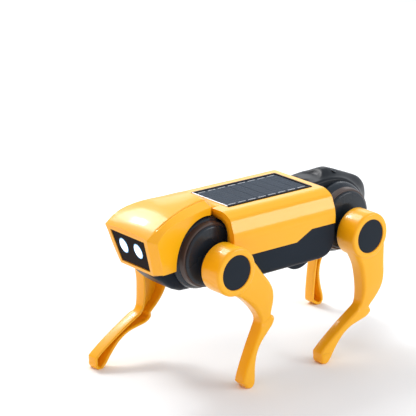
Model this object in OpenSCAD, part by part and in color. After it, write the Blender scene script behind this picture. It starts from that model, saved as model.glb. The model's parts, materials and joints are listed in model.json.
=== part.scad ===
// Solar robot kit: a four-legged walking robot. One motor turns two crank axles through a row of
// spur gears; each crank pin rocks a slotted lever, and each lever rocks one leg about its hip.
// Frame: +X is the robot's left, the head faces -Y, +Z is up, the soles stand on z = 0.
// Every module below puts y = 0 midway between the two hip axes, and the last lines move the
// whole robot so that y = 0 is the middle of its length. Millimetres.

/* [Hips] */
// Distance between the front and the rear hip axes
hip_span = 90; // [90:0.1:90.2]
// Height of the hip axes above the soles
hip_z = 62.8; // [62:0.1:64]
// Height of the hip disc's centre above the hip axis
disc_rise = 4; // [3.8:0.1:4.2]
// Height of the crank axle above the hip axis
crank_rise = 9; // [8.8:0.1:9.2]
// Distance from the crank axle to its pin
crank_throw = 3.8; // [3.4:0.1:4]

/* [Body] */
// Half the width of the back shell
shell_half = 27; // [26.8:0.1:27.2]
// Height of the back shell's flat top
shell_top = 87.4; // [87:0.1:88]
// Front end of the back shell
shell_front = -39.5; // [-40:0.1:-39]
// Rear end of the back shell
shell_rear = 28; // [27.5:0.1:28.2]
// Thickness of the moulded walls
wall = 1.6; // [1.4:0.1:1.8]

/* [Solar panel] */
// Half the width of the solar panel
panel_half = 14; // [13:0.1:14.5]
// Front edge of the solar panel
panel_front = -32.2; // [-33:0.1:-31]
// Length of the solar panel
panel_len = 56; // [54:0.5:57]
// Number of cell strips across the length
cell_rows = 8; // [4:1:10]

/* [Legs] */
// Inner face of the legs, measured from the middle of the body
leg_in = 27.6; // [27.5:0.1:28]
// Outer face of the legs
leg_out = 35.2; // [34.8:0.1:35.4]
// Radius of the hip drum on each leg
drum_r = 12.1; // [11.8:0.1:12.2]
// Angle of the left front leg at rest, positive when its foot is behind the hip
angle_lf = 13.5; // [10:0.5:16]
// Angle of the right front leg at rest
angle_rf = -25.5; // [-27:0.5:-20]
// Angle of the left rear leg at rest
angle_lr = -22; // [-25:0.5:-18]
// Angle of the right rear leg at rest
angle_rr = 28; // [22:0.5:28]

/* [Hidden] */

// Distance from the middle of the robot's length to the middle between the hips
middle_shift = 1.8;
round_fn = 64;
yellow = [0.98, 0.66, 0.12];
black = [0.10, 0.13, 0.17];
brown_black = [0.17, 0.14, 0.14];
steel = [0.75, 0.76, 0.78];
white_plastic = [0.93, 0.93, 0.9];

hip_y = hip_span / 2;
disc_z = hip_z + disc_rise;
axle_z = hip_z + crank_rise;

// Places across the body, measured from its middle outwards
plate_in = 6.8;
plate_out = 8;
crank_in = 8.3;
crank_out = 9.8;
pin_end = 10.6;
lever_in = 10.9;
lever_out = 12.4;
housing_end = 17.3;
disc_out = 18.9;
neck_in = 19.3;
drum_in = 23.3;
drum_out = 35.7;

stud_r = 1.5;
running = 0.05;
clearance = 0.3;
neck_r = 8.6;
shaft_r = 4;
key_r = 5;
key_len = 4;
housing_r = 16.7;
disc_r = 14.6;
cap_r = 8.8;
cap_thick = 0.9;

// Body section, half outline from the middle of the top round to the middle of the bottom
belly_bottom = 52.8;
belly_half = shell_half - 0.4;
shell_outline = [[0, shell_top], [14, shell_top], [18, shell_top - 0.3], [21.2, shell_top - 1.2],
  [23.4, shell_top - 2.6], [26.5, shell_top - 9.4], [shell_half, shell_top - 12.6], [shell_half, 60], [0, 60]];
belly_outline = [[0, 76], [belly_half, 76], [belly_half, belly_bottom + 3],
  [belly_half - 2.5, belly_bottom], [0, belly_bottom]];

seam_front_z = 66;
seam_rear_z = 71;
seam_step_y = [2, 12];
bulge_r = 10.6;

motor_z = 59.6;
motor_r = 7.4;
row_teeth = 18;
row_module = 1;
fine_module = 0.5;
drive_teeth = 38;
reduction_teeth = 24;
pinion_teeth = 10;
row_pitch = hip_span / 5;
drive_y = row_pitch / 2;
drive_r = drive_teeth * fine_module / 2;
pinion_r = pinion_teeth * fine_module / 2;
reduction_r = reduction_teeth * fine_module / 2;
// The reduction gear hangs below and behind the drive gear, and the motor lies in front of it
reduction_drop = 9.3;
reduction_z = axle_z - reduction_drop;
reduction_y = drive_y + sqrt(pow(drive_r + pinion_r, 2) - pow(reduction_drop, 2));
motor_y = reduction_y - sqrt(pow(reduction_r + pinion_r, 2) - pow(reduction_z - motor_z, 2));
drive_angle = atan2(reduction_z - axle_z, reduction_y - drive_y);
motor_angle = atan2(motor_z - reduction_z, motor_y - reduction_y);
gear_pin_r = 1;
small_pin_r = 0.75;

sole_r = 3.2;
sole_back = -2;

// ---------- helpers ----------
// Polar point
function ray(r, a) = [r * cos(a), r * sin(a)];
// Points on an arc from angle a to angle b about a centre
function arc(c, r, a, b, n) = [for (i = [0 : n]) c + ray(r, a + (b - a) * i / n)];
function unit(v) = v / norm(v);
// Outline moved inwards by d; the points run anticlockwise
function inset(p, d) = [for (i = [0 : len(p) - 1])
  let (a = unit(p[i] - p[(i + len(p) - 1) % len(p)]), b = unit(p[(i + 1) % len(p)] - p[i]),
    n = unit([-a[1] - b[1], a[0] + b[0]]), s = max(0.4, -a[1] * n[0] + a[0] * n[1]))
  p[i] + n * d / s];
// A half outline joined to its mirror image
function mirrored(p) = concat(p, [for (i = [len(p) - 1 : -1 : 0]) if (p[i][0] > 0) [-p[i][0], p[i][1]]]);

// Draws an outline of [y, z] points between two places across the body
module across(x0, x1) {
  multmatrix([[0, 0, 1, x0], [1, 0, 0, 0], [0, 1, 0, 0], [0, 0, 0, 1]])
    linear_extrude(x1 - x0) children();
}
// Draws an outline of [x, z] points between two places along the body
module along(y0, y1) {
  translate([0, y1, 0]) rotate([90, 0, 0]) linear_extrude(y1 - y0) children();
}
// A round bar across the body
module bar(x0, x1, y, z, r, n = round_fn) {
  translate([x0, y, z]) rotate([0, 90, 0]) cylinder(h = x1 - x0, r = r, $fn = n);
}
// A turned ring across the body from an [across, radius] outline
module turned(y, z, outline) {
  translate([0, y, z]) rotate([0, 90, 0]) rotate_extrude($fn = round_fn)
    polygon([for (p = outline) [p[1], p[0]]]);
}
// Puts a left-hand piece on the left (side 1) or on the right (side -1)
module on_side(side) {
  if (side > 0) children();
  else mirror([1, 0, 0]) children();
}
// Half the angle of a tooth at radius r, with play taken off its thickness
function tooth_half(r, pitch_r, teeth, play) =
  let (press = 20, base = pitch_r * cos(press), a = r > base ? acos(base / r) : 0,
    inv_r = tan(a) * 180 / PI - a, inv_p = tan(press) * 180 / PI - press)
  90 / teeth + inv_p - inv_r - play / pitch_r * 90 / PI;
// Outline of a spur gear with a tooth centred on its first axis
function gear_points(teeth, m, play) =
  let (pitch_r = teeth * m / 2, tip = pitch_r + 0.85 * m, root = pitch_r - 1.2 * m,
    rs = [max(root, pitch_r - 0.75 * m), pitch_r - 0.35 * m, pitch_r + 0.25 * m, tip])
  [for (k = [0 : teeth - 1]) let (a = k * 360 / teeth) each concat(
    [ray(root, a - tooth_half(rs[0], pitch_r, teeth, play) - 1)],
    [for (i = [0 : 3]) ray(rs[i], a - tooth_half(rs[i], pitch_r, teeth, play))],
    [for (i = [3 : -1 : 0]) ray(rs[i], a + tooth_half(rs[i], pitch_r, teeth, play))],
    [ray(root, a + tooth_half(rs[0], pitch_r, teeth, play) + 1)])];
// A spur wheel across the body, turned by an angle, with its teeth between two places
module wheel(x0, x1, y, z, teeth, m, turn) {
  translate([0, y, z]) rotate([turn, 0, 0]) across(x0, x1) polygon(gear_points(teeth, m, 0.12));
}

// ---------- body ----------
module above_seam() {
  across(-40, 40) polygon([[-60, seam_front_z], [seam_step_y[0], seam_front_z],
    [seam_step_y[1], seam_rear_z], [60, seam_rear_z], [60, 100], [-60, 100]]);
}
module below_seam() {
  across(-40, 40) polygon([[-60, 40], [60, 40], [60, seam_rear_z], [seam_step_y[1], seam_rear_z],
    [seam_step_y[0], seam_front_z], [-60, seam_front_z]]);
}
// Room for the front hips, cut from the shells
module hip_room() {
  for (side = [-1, 1]) on_side(side) {
    bar(plate_out - 0.2, disc_out + 0.4, -hip_y, disc_z, housing_r + 0.5);
    bar(disc_out, drum_in, -hip_y, hip_z, neck_r + 0.6);
    bar(drum_in - 0.5, shell_half + 2, -hip_y, hip_z, drum_r + 0.5);
  }
}
module shell_block(outline, y0, y1) {
  along(y0, y1) polygon(mirrored(outline));
}
// Places of the four shell screws
screw_x = 22.2;
screw_places = [for (x = [-screw_x, screw_x], y = [-24, 14]) [x, y]];
screw_joint = 61;
module back_shell() {
  color(yellow) difference() {
    union() {
      intersection() {
        difference() {
          shell_block(shell_outline, shell_front, shell_rear);
          shell_block([for (p = shell_outline) [max(0, p[0] - wall), min(p[1], shell_top - 2.1)]],
            shell_front + wall, shell_rear - wall);
        }
        above_seam();
      }
      // screw posts
      for (p = screw_places) translate([p[0], p[1], screw_joint]) cylinder(h = 23, r = 2.4, $fn = 32);
    }
    for (p = screw_places) translate([p[0], p[1], screw_joint - 1]) cylinder(h = 6, r = 0.95, $fn = 24);
    // openings in the end walls for the gearbox
    along(shell_front - 1, shell_rear + 1) translate([-disc_out - 0.4, 60]) square([2 * disc_out + 0.8, 24]);
    hip_room();
    // pocket for the solar panel
    translate([-panel_half, panel_front, shell_top - 1.2]) cube([2 * panel_half, panel_len, 3]);
    // hole for the panel wires
    translate([0, panel_front + 6, 80]) cylinder(h = 10, r = 1.6, $fn = 24);
  }
}
// Side view of the belly, with its rear corner cut upwards
module belly_side(thin) {
  across(-40, 40) polygon([[shell_front - 1, belly_bottom + thin], [20 - 0.3 * thin, belly_bottom + thin],
    [shell_rear - thin, 58.6 + 0.5 * thin], [shell_rear - thin, 80], [shell_front - 1, 80]]);
}
module belly_shell() {
  color(black) difference() {
    union() {
      difference() {
        intersection() {
          shell_block(belly_outline, shell_front, shell_rear);
          belly_side(0);
          below_seam();
        }
        intersection() {
          shell_block([for (p = belly_outline) [max(0, p[0] - wall), p[1]]], shell_front - 1, shell_rear);
          belly_side(wall);
        }
      }
      // bulge across the belly that holds the motor
      intersection() {
        bar(-22.4, 22.4, motor_y, motor_z, bulge_r);
        translate([-30, motor_y - 12, 40]) cube([60, 24, belly_bottom + wall - 40]);
      }
      // ribs that carry the gearbox plates
      for (side = [-1, 1], y = [-20, 22]) on_side(side)
        translate([6.2, y, belly_bottom + 0.5]) cube([2.4, 1.4, 60 - belly_bottom - 0.5]);
      // screw posts
      for (p = screw_places) translate([p[0], p[1], belly_bottom + 0.5])
        cylinder(h = screw_joint - belly_bottom - 0.5, r = 2.4, $fn = 32);
    }
    bar(-20.1, 4.6, motor_y, motor_z, bulge_r - 3.1);
    bar(6, 18, motor_y, motor_z, bulge_r - 2);
    hip_room();
    for (p = screw_places)
      translate([p[0], p[1], belly_bottom - 5]) {
        cylinder(h = 20, r = 1, $fn = 24);
        cylinder(h = 6.6, r = 2, $fn = 24);
      }
    along(shell_rear - wall - 1, shell_rear + 1)
      translate([-disc_out - 0.4, 60]) square([2 * disc_out + 0.8, 20]);
  }
}
module shell_screws() {
  color(steel) for (p = screw_places)
    translate([p[0], p[1], belly_bottom + 0.3]) {
      cylinder(h = 1.3, r = 1.9, $fn = 24);
      cylinder(h = 11.5, r = 0.95, $fn = 24);
    }
}

// ---------- solar panel ----------
board_z = shell_top - 1.2;
cell_z = board_z + 1.1;
module panel_slab(edge, z0, z1) {
  translate([-panel_half + edge, panel_front + edge, z0])
    cube([2 * (panel_half - edge), panel_len - 2 * edge, z1 - z0]);
}
module panel_board() {
  color(black) panel_slab(0.15, board_z, cell_z);
}
cell_edge = 1.7;
cell_pitch = (panel_len - 2 * cell_edge) / cell_rows;
module solar_cells() {
  color([0.09, 0.14, 0.24]) for (i = [0 : cell_rows - 1])
    translate([-panel_half + cell_edge, panel_front + cell_edge + i * cell_pitch + 0.15, cell_z])
      cube([2 * (panel_half - cell_edge), cell_pitch - 0.3, 0.2]);
}
module cell_busbars() {
  color(steel) for (i = [0 : cell_rows - 1], x = [panel_half - 3.4, -panel_half + 2.8])
    translate([x, panel_front + cell_edge + i * cell_pitch + 0.5, cell_z + 0.2])
      cube([0.6, cell_pitch - 1, 0.1]);
}
module panel_resin() {
  color([0.8, 0.88, 0.95, 0.35]) difference() {
    panel_slab(0.15, cell_z, cell_z + 0.6);
    panel_slab(cell_edge, cell_z - 0.1, cell_z + 0.3);
  }
}
wire_r = 0.45;
wire_y = panel_front + 6;
// A square-cornered run of wire through a list of points
module wire(path) {
  for (i = [0 : len(path) - 2]) let (v = path[i + 1] - path[i], h = norm(v))
    translate(path[i]) rotate([0, acos(v[2] / h), atan2(v[1], v[0])])
      cylinder(h = h, r = wire_r, $fn = 16);
  for (i = [1 : len(path) - 2]) translate(path[i]) sphere(r = wire_r, $fn = 16);
}
module panel_wires() {
  color([0.7, 0.1, 0.1]) for (s = [-1, 1]) wire([
    [0.7 * s, wire_y, board_z], [0.7 * s, wire_y, 84.4 - 0.1 * s], [-13 + 0.8 * s, wire_y, 84.4 - 0.1 * s]]);
}

// ---------- head ----------
// Rails of the hood run from the brow (u = 1) back to its rear edge (u = 0)
hood_rear = -43.4;
hood_top_len = 40.9;
hood_cheek_len = 37.6;
hood_side_len = 31.6;
hood_chin_len = 33.6;
arch_r = 18;
function ease(t) = t >= 1 ? 1 : t * t * (3 - 2 * t);
function crown_z(u) = 91.7 - 2.3 * u - 8.1 * pow(u, 4);
function crease_x(u) = 8.2 + 7.4 * ease(u / 0.9);
function cheek_z(u) = 89.5 - 3.2 * u - 6.6 * pow(u, 7);
function cheek_x(u) = 13.6 + 5.8 * u;
function jaw_x(u) = 12.4 + 4.6 * ease(u);
hood_steps = 14;
// One ring of the hood, right-hand half from the middle of the top to the middle of the bottom
function hood_half(u, thin) =
  let (yt = hood_rear - hood_top_len * u, yc = hood_rear - hood_cheek_len * u,
    yb = hood_rear - hood_side_len * u, yf = hood_rear - hood_chin_len * u)
  [[0, yt + thin, crown_z(u) + 0.9 - thin],
   [crease_x(u) - 0.6 * thin, yt + thin, crown_z(u) - thin],
   [cheek_x(u) - thin, yc + 0.7 * thin, cheek_z(u) - 0.5 * thin],
   [jaw_x(u) - thin, yb + 0.7 * thin, 62.5 - thin],
   [jaw_x(u) - 5 - thin, yf + thin, 61 - thin]];
function hood_ring(u, thin) = let (h = hood_half(u, thin))
  concat(h, [for (i = [4 : -1 : 1]) [-h[i][0], h[i][1], h[i][2]]]);
// A closed solid through rings of nine points: the first end has a flat face and two corner facets
module loft(rings) {
  n = 9;
  m = len(rings);
  polyhedron(points = [for (r = rings) each r],
    faces = concat(
      [for (j = [0 : m - 2], i = [0 : n - 1]) each [
        [j * n + i, (j + 1) * n + (i + 1) % n, j * n + (i + 1) % n],
        [j * n + i, (j + 1) * n + i, (j + 1) * n + (i + 1) % n]]],
      [[0, 1, 4], [0, 4, 5], [0, 5, 8], [1, 2, 3], [1, 3, 4], [8, 5, 6], [8, 6, 7]],
      [for (i = [1 : n - 2]) [(m - 1) * n, (m - 1) * n + i + 1, (m - 1) * n + i]]),
    convexity = 6);
}
// Last ring, where the hood meets the front of the back shell
brim_y = shell_front - 0.1;
function brim_half(thin) = [[0, brim_y + thin, 90.9 - thin], [6 - 0.6 * thin, brim_y + thin, 90.2 - thin],
  [10 - thin, brim_y + thin, 88.1 - 0.5 * thin], [10 - thin, brim_y + thin, 62.5 - thin],
  [5 - thin, brim_y + thin, 61 - thin]];
function brim_ring(thin) = let (h = brim_half(thin))
  concat(h, [for (i = [4 : -1 : 1]) [-h[i][0], h[i][1], h[i][2]]]);
module hood_solid(thin) {
  loft(concat([for (i = [0 : hood_steps]) hood_ring(1 - i / hood_steps, thin)], [brim_ring(thin)]));
}
// Slope that carries the hood's crown down onto the back shell, in front of the solar panel
module brim() {
  hull() {
    along(brim_y - 0.1, shell_front) polygon(mirrored([[0, 90.9], [6, 90.2], [9.9, 88.1], [9.9, shell_top],
      [0, shell_top]]));
    along(panel_front - 1.4, panel_front - 1.3) polygon(mirrored([[0, shell_top + 0.2],
      [9, shell_top + 0.1], [9, shell_top], [0, shell_top]]));
  }
}
module visor_outline(grow) {
  polygon([[-10.7 - grow, 62.9 - grow], [10.7 + grow, 62.9 - grow],
    [12.7 + grow, 79.4 + grow], [-12.7 - grow, 79.4 + grow]]);
}
// Slope of the face plane, which leans back towards the chin
face_lean = atan2(7.3, 20);
module on_face(y) {
  translate([0, -84.3 + y, 81]) rotate([face_lean, 0, 0]) translate([0, 0, -81]) children();
}
module head_shell() {
  color(yellow) difference() {
    union() {
      difference() {
        hood_solid(0);
        hood_solid(1.4);
      }
      brim();
    }
    // arches over the hip housings
    for (side = [-1, 1]) on_side(side) bar(7, 30, -hip_y, disc_z, arch_r);
    // window for the visor
    on_face(0) along(-3, 6) visor_outline(0.2);
  }
}
eye_x = 5.4;
eye_z = 72.1;
eye_r = 3.1;
module visor() {
  color(brown_black) difference() {
    on_face(0.25) along(0, 1.2) visor_outline(0);
    for (s = [-1, 1]) on_face(0) translate([s * eye_x, 5, eye_z]) rotate([90, 0, 0])
      cylinder(h = 12, r = eye_r, $fn = round_fn);
  }
  // posts that hold the lamp board
  color(brown_black) for (s = [-1, 1]) on_face(0) translate([s * 9, 5, eye_z + 3]) rotate([90, 0, 0])
    cylinder(h = 3.6, r = 0.8, $fn = 24);
}
module eye_lenses() {
  color("white") for (s = [-1, 1]) on_face(0) translate([s * eye_x, 2.2, eye_z]) rotate([90, 0, 0])
    cylinder(h = 1.9, r = eye_r, $fn = round_fn);
}
module eye_board() {
  color([0.1, 0.35, 0.2]) on_face(0) along(5, 6.2) translate([-9.5, eye_z - 4]) square([19, 8]);
}
module eye_lamps() {
  color([0.9, 0.95, 1]) for (s = [-1, 1]) on_face(0) translate([s * eye_x, 5, eye_z]) rotate([90, 0, 0])
    cylinder(h = 2.6, r = 1.5, $fn = 32);
}
module neck_cover() {
  color(black) difference() {
    union() {
      along(-76, -62.6) polygon(mirrored([[0, 61], [12.2, 61], [12, 59.6], [9.8, 56.6], [0, 56.6]]));
      // trough that deepens from the chin back to the shell
      across(-7.8, 7.8) polygon([[-76, 58], [-63, 51], [-58, 49.2], [-50, 48.2], [-43, 48.6],
        [shell_front, 50], [shell_front, 57.6], [-76, 60]]);
    }
    along(-74.6, -63.8) polygon(mirrored([[0, 66], [11, 66], [11, 61], [9.4, 58], [0, 58]]));
    across(-6.4, 6.4) polygon([[-72, 58], [-62.5, 52.6], [-57.5, 50.8], [-50, 49.8], [-43.4, 50.1],
      [shell_front - 1.4, 51], [shell_front - 1.4, 62], [-72, 62]]);
    across(-20, 20) polygon([[-80, 50], [-75, 50], [-74, 57], [-77, 62], [-80, 64]]);
  }
}

// ---------- rear cowl ----------
cowl_half = 9.3;
cowl_outline = [[28.2, 62], [28.2, 87], [39.2, 87.4], [41.2, 89.9], [46.6, 90.1], [55.6, 86.9],
  [64.7, 83], [69.4, 80.5], [73.1, 76.9], [74.7, 71.2], [74.2, 64.5], [70.5, 58], [62, 55.5], [36, 57]];
cowl_side = [[28.2, 62], [28.2, 86.4], [42.7, 87.2], [47.9, 86.6], [53.2, 85], [58.7, 81.9], [62, 79.1],
  [64.6, 75.6], [66.2, 70.5], [66, 64], [63, 59.4], [58, 56.8], [52, 56.1], [36, 57]];
// Hollow of a side outline, one wall thick
module cowl_hollow(outline, half) {
  across(-half, half) polygon(inset([for (i = [len(outline) - 1 : -1 : 0]) outline[i]], 1.4));
}
module rear_cowl() {
  color(black) difference() {
    // raised spine along the middle, lower shoulders beside it
    union() {
      across(-4, 4) polygon(cowl_outline);
      across(-cowl_half, cowl_half) polygon(cowl_side);
    }
    cowl_hollow(cowl_outline, 2.75);
    cowl_hollow(cowl_side, cowl_half - 1.25);
    across(-plate_out - 0.05, plate_out + 0.05)
      polygon([[20, 50], [58.5, 50], [58.5, 79], [54, 82], [48, 84.6], [20, 85]]);
    across(-20, 20) polygon([[20, 50], [50, 50], [50, 74], [20, 74]]);
    for (side = [-1, 1]) on_side(side) bar(7.5, 12, hip_y, disc_z, housing_r + 0.5);
  }
}

// ---------- hips ----------
module housing(side, y) {
  color(brown_black) on_side(side) difference() {
    turned(y, disc_z, [[plate_out, 0], [plate_out, housing_r], [13.5, housing_r], [housing_end, 15.6],
      [housing_end, 0]]);
    bar(plate_out - 1, housing_end - 1.3, y, disc_z, housing_r - 2.2);
    bar(plate_out, housing_end + 1, y, hip_z, shaft_r + clearance);
  }
}
module disc(side, y) {
  color(black) on_side(side) difference() {
    turned(y, disc_z, [[housing_end, 0], [housing_end, disc_r], [disc_out - 0.5, disc_r],
      [disc_out, disc_r - 0.5], [disc_out, 0]]);
    bar(housing_end - 1, disc_out + 1, y, hip_z, shaft_r + clearance);
  }
}
module hip_studs() {
  color(steel) for (side = [-1, 1], y = [-hip_y, hip_y]) on_side(side) difference() {
    bar(plate_in, 30.4, y, hip_z, stud_r);
    bar(22, 31, y, hip_z, 0.8, 24);
  }
}
module hip_screws() {
  color(steel) for (side = [-1, 1], y = [-hip_y, hip_y]) on_side(side) {
    bar(24, 30.6, y, hip_z, 0.8, 24);
    bar(30.4, 32, y, hip_z, 2.8, 32);
  }
}
// A lever with its slot, its shaft and the key that enters the leg, at one hip and angle
module lever(side, y, angle) {
  color(black) on_side(side) translate([0, y, hip_z]) rotate([angle, 0, 0]) difference() {
    union() {
      across(lever_in, lever_out) {
        circle(r = 4.4, $fn = round_fn);
        polygon([[-3, 0], [3, 0], [2.2, 14.2], [-2.2, 14.2]]);
        translate([0, 14.2]) circle(r = 2.2, $fn = 32);
      }
      bar(lever_out, neck_in, 0, 0, shaft_r);
      bar(neck_in, drum_in, 0, 0, neck_r);
      bar(drum_in, drum_in + key_len, 0, 0, key_r, 6);
    }
    bar(lever_in - 1, drum_in + key_len + 1, 0, 0, stud_r + running);
    // slot for the crank pin
    across(lever_in - 1, lever_out + 1) translate([-1.15, 5]) square([2.3, 8.6]);
  }
}
// Outline of a leg in its own frame: the hip is at the origin and the foot hangs below.
// drop is the depth of the sole's centre below the hip; it stretches the leg's heights.
function leg_outline(drop) = let (k = drop / 62.8) concat(
  [[11.6, 3 * k], [15.5, -6.5 * k], [18.6, -14.5 * k], [19.8, -20 * k], [20, -23.5 * k],
   [19.4, -29 * k], [17.2, -35 * k], [18.6, -36.2 * k], [18.8, -38 * k], [17, -40.6 * k],
   [13, -43.4 * k], [9, -46.4 * k], [5.8, -50.2 * k], [3.8, -54.4 * k], [2.6, -58.6 * k],
   [sole_back + sole_r + 0.6, -drop + 1]],
  [for (a = [-12 : -24 : -168]) [sole_back, -drop] + ray(sole_r, a)],
  [[sole_back - sole_r - 1.2, -drop + 1.2], [sole_back - sole_r - 1, -60 * k],
   [11.2, -36.6 * k], [11.6, -34 * k], [10.4, -30 * k], [8, -25.4 * k],
   [4.6, -20.2 * k], [0.4, -15 * k], [-5, -10.6]]);
sole_flat = 0.4;
function foot_drop(angle) = (hip_z + sole_flat - sole_r + sole_back * sin(angle)) / cos(angle);
module leg(side, y, angle) {
  profile = [for (i = [len(leg_outline(foot_drop(angle))) - 1 : -1 : 0]) leg_outline(foot_drop(angle))[i]];
  color(yellow) on_side(side) translate([0, y, hip_z]) rotate([angle, 0, 0]) difference() {
    union() {
      turned(0, 0, [[drum_in, 0], [drum_in, drum_r - 0.4], [drum_in + 0.4, drum_r],
        [drum_out - 1.2, drum_r], [drum_out - 0.35, drum_r - 0.35], [drum_out, drum_r - 1.2], [drum_out, 0]]);
      across(leg_in, leg_out) polygon(profile);
    }
    // hollow of the moulding, open on the inner side and clear of the drum
    difference() {
      across(leg_in - 1, leg_out - 1.5) polygon(inset(profile, 1.3));
      bar(leg_in - 2, leg_out, 0, 0, drum_r);
    }
    bar(drum_in - 1, drum_in + key_len, 0, 0, key_r, 6);
    bar(drum_in, drum_out, 0, 0, stud_r + running);
    bar(30.3, drum_out, 0, 0, 4.2);
    bar(drum_out - 0.4 - cap_thick, drum_out + 1, 0, 0, cap_r);
    // flat of the sole
    rotate([-angle, 0, 0]) translate([20, -60, -hip_z - 10]) cube([20, 120, 10]);
  }
}
module cap(side, y) {
  color(black) on_side(side)
    turned(y, hip_z, [[drum_out - 0.4 - cap_thick, 0], [drum_out - 0.4 - cap_thick, cap_r],
      [drum_out - 0.5, cap_r], [drum_out - 0.3, cap_r - 0.25], [drum_out - 0.3, 0]]);
}

// ---------- gearbox ----------
row_places = [for (i = [0 : 5]) -hip_y + i * row_pitch];
post_places = [[-36, 62.2], [36, 62.2], [-18, 81.3], [18, 81.3]];
module plate_shape() {
  difference() {
    union() {
      translate([-hip_y, 60]) square([hip_span, 23.5]);
      for (y = [-hip_y, hip_y]) {
        translate([y, axle_z]) circle(r = 9.5, $fn = round_fn);
        translate([y, hip_z]) circle(r = 5, $fn = round_fn);
      }
    }
    for (y = [-hip_y, hip_y]) {
      translate([y, axle_z]) circle(r = 2.5, $fn = round_fn);
      translate([y, hip_z]) circle(r = stud_r, $fn = round_fn);
    }
    for (i = [1 : 4]) translate([row_places[i], axle_z]) circle(r = gear_pin_r, $fn = 32);
    translate([reduction_y, reduction_z]) circle(r = small_pin_r, $fn = 32);
    for (p = post_places) translate(p) circle(r = 1, $fn = 32);
  }
}
module left_plate() {
  color(white_plastic) across(plate_in, plate_out) plate_shape();
}
module right_plate() {
  color(white_plastic) difference() {
    across(-plate_out, -plate_in) plate_shape();
    bar(-plate_out - 1, -plate_in + 1, motor_y, motor_z, motor_r);
  }
}
module plate_posts() {
  color(steel) for (p = post_places) {
    bar(-plate_in, plate_in, p[0], p[1], 1.8, 32);
    bar(-plate_out, plate_out, p[0], p[1], 1, 32);
  }
}
module gear_pins() {
  color(steel) {
    for (i = [1 : 4]) bar(-plate_out, plate_out, row_places[i], axle_z, gear_pin_r, 32);
    bar(-plate_out, plate_out, reduction_y, reduction_z, small_pin_r, 32);
  }
}
module axle_bushes() {
  color([0.8, 0.6, 0.25]) for (side = [-1, 1], y = [-hip_y, hip_y]) on_side(side) difference() {
    bar(plate_in, plate_out, y, axle_z, 2.5);
    bar(plate_in - 1, plate_out + 1, y, axle_z, stud_r + running);
  }
}
row_x = [2.6, 4.8];
fine_x = [5, 6.5];
motor_x = [0.2, 2.3];
sleeve_r = 2.2;
sleeve_end = 6.5;
module row_gear(i, bore) {
  difference() {
    union() {
      wheel(row_x[0], row_x[1], row_places[i], axle_z, row_teeth, row_module, (i % 2) * 180 / row_teeth);
      bar(-sleeve_end, sleeve_end, row_places[i], axle_z, sleeve_r);
    }
    bar(-20, 20, row_places[i], axle_z, bore);
  }
}
module idler(i) {
  color(white_plastic) row_gear(i, gear_pin_r + running);
}
module drive_gear() {
  color(white_plastic) difference() {
    union() {
      row_gear(3, gear_pin_r + running);
      wheel(fine_x[0], fine_x[1], drive_y, axle_z, drive_teeth, fine_module, drive_angle);
      bar(row_x[1], fine_x[0], drive_y, axle_z, 6);
    }
    bar(-20, 20, drive_y, axle_z, gear_pin_r + running);
  }
}
module reduction_gear() {
  color(white_plastic) difference() {
    union() {
      wheel(motor_x[0], motor_x[1], reduction_y, reduction_z, reduction_teeth, fine_module, motor_angle);
      wheel(fine_x[0], fine_x[1], reduction_y, reduction_z, pinion_teeth, fine_module,
        drive_angle + 180 + 180 / pinion_teeth);
      bar(motor_x[0], sleeve_end, reduction_y, reduction_z, 1.6);
    }
    bar(-20, 20, reduction_y, reduction_z, small_pin_r + running);
  }
}
module motor_pinion() {
  color([0.85, 0.65, 0.3]) difference() {
    wheel(motor_x[0] + 0.1, motor_x[1], motor_y, motor_z, pinion_teeth, fine_module,
      motor_angle + 180 + 180 / pinion_teeth);
    bar(-1, 4, motor_y, motor_z, small_pin_r);
  }
}
motor_front = -0.2;
motor_back = -19.4;
module motor_can() {
  color(steel) difference() {
    union() {
      bar(motor_back, motor_front - 0.6, motor_y, motor_z, motor_r);
      bar(motor_front - 0.7, motor_front, motor_y, motor_z, 2.4);
    }
    bar(motor_back - 1, motor_front - 1.5, motor_y, motor_z, motor_r - 0.7);
    bar(motor_back, motor_front + 1, motor_y, motor_z, small_pin_r + running);
  }
}
module motor_end_cap() {
  color(white_plastic) difference() {
    bar(motor_back, motor_back + 1.6, motor_y, motor_z, motor_r - 0.7);
    bar(motor_back - 1, motor_back + 2, motor_y, motor_z, small_pin_r + running);
  }
}
module motor_shaft() {
  color(steel) {
    bar(motor_back + 0.2, motor_x[1], motor_y, motor_z, small_pin_r, 32);
    bar(motor_back + 3.4, motor_front - 3, motor_y, motor_z, 5.2);
  }
}
module axle(y) {
  color(steel) bar(-crank_out, crank_out, y, axle_z, stud_r);
}
module axle_gear(i) {
  color(white_plastic) row_gear(i, stud_r);
}
// A crank wheel; turn is the angle of its pin from straight up, towards the front
module crank(side, y, turn) {
  color(white_plastic) on_side(side) translate([0, y, axle_z]) rotate([turn, 0, 0]) {
    difference() {
      bar(crank_in, crank_out, 0, 0, 5.8);
      bar(crank_in - 1, crank_out + 1, 0, 0, stud_r);
    }
    bar(crank_out, pin_end, 0, crank_throw, 1, 32);
  }
}
// Crank turns that put each pin in its lever's slot when the robot stands at rest
front_turn = 54;
rear_turn = 245;

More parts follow.
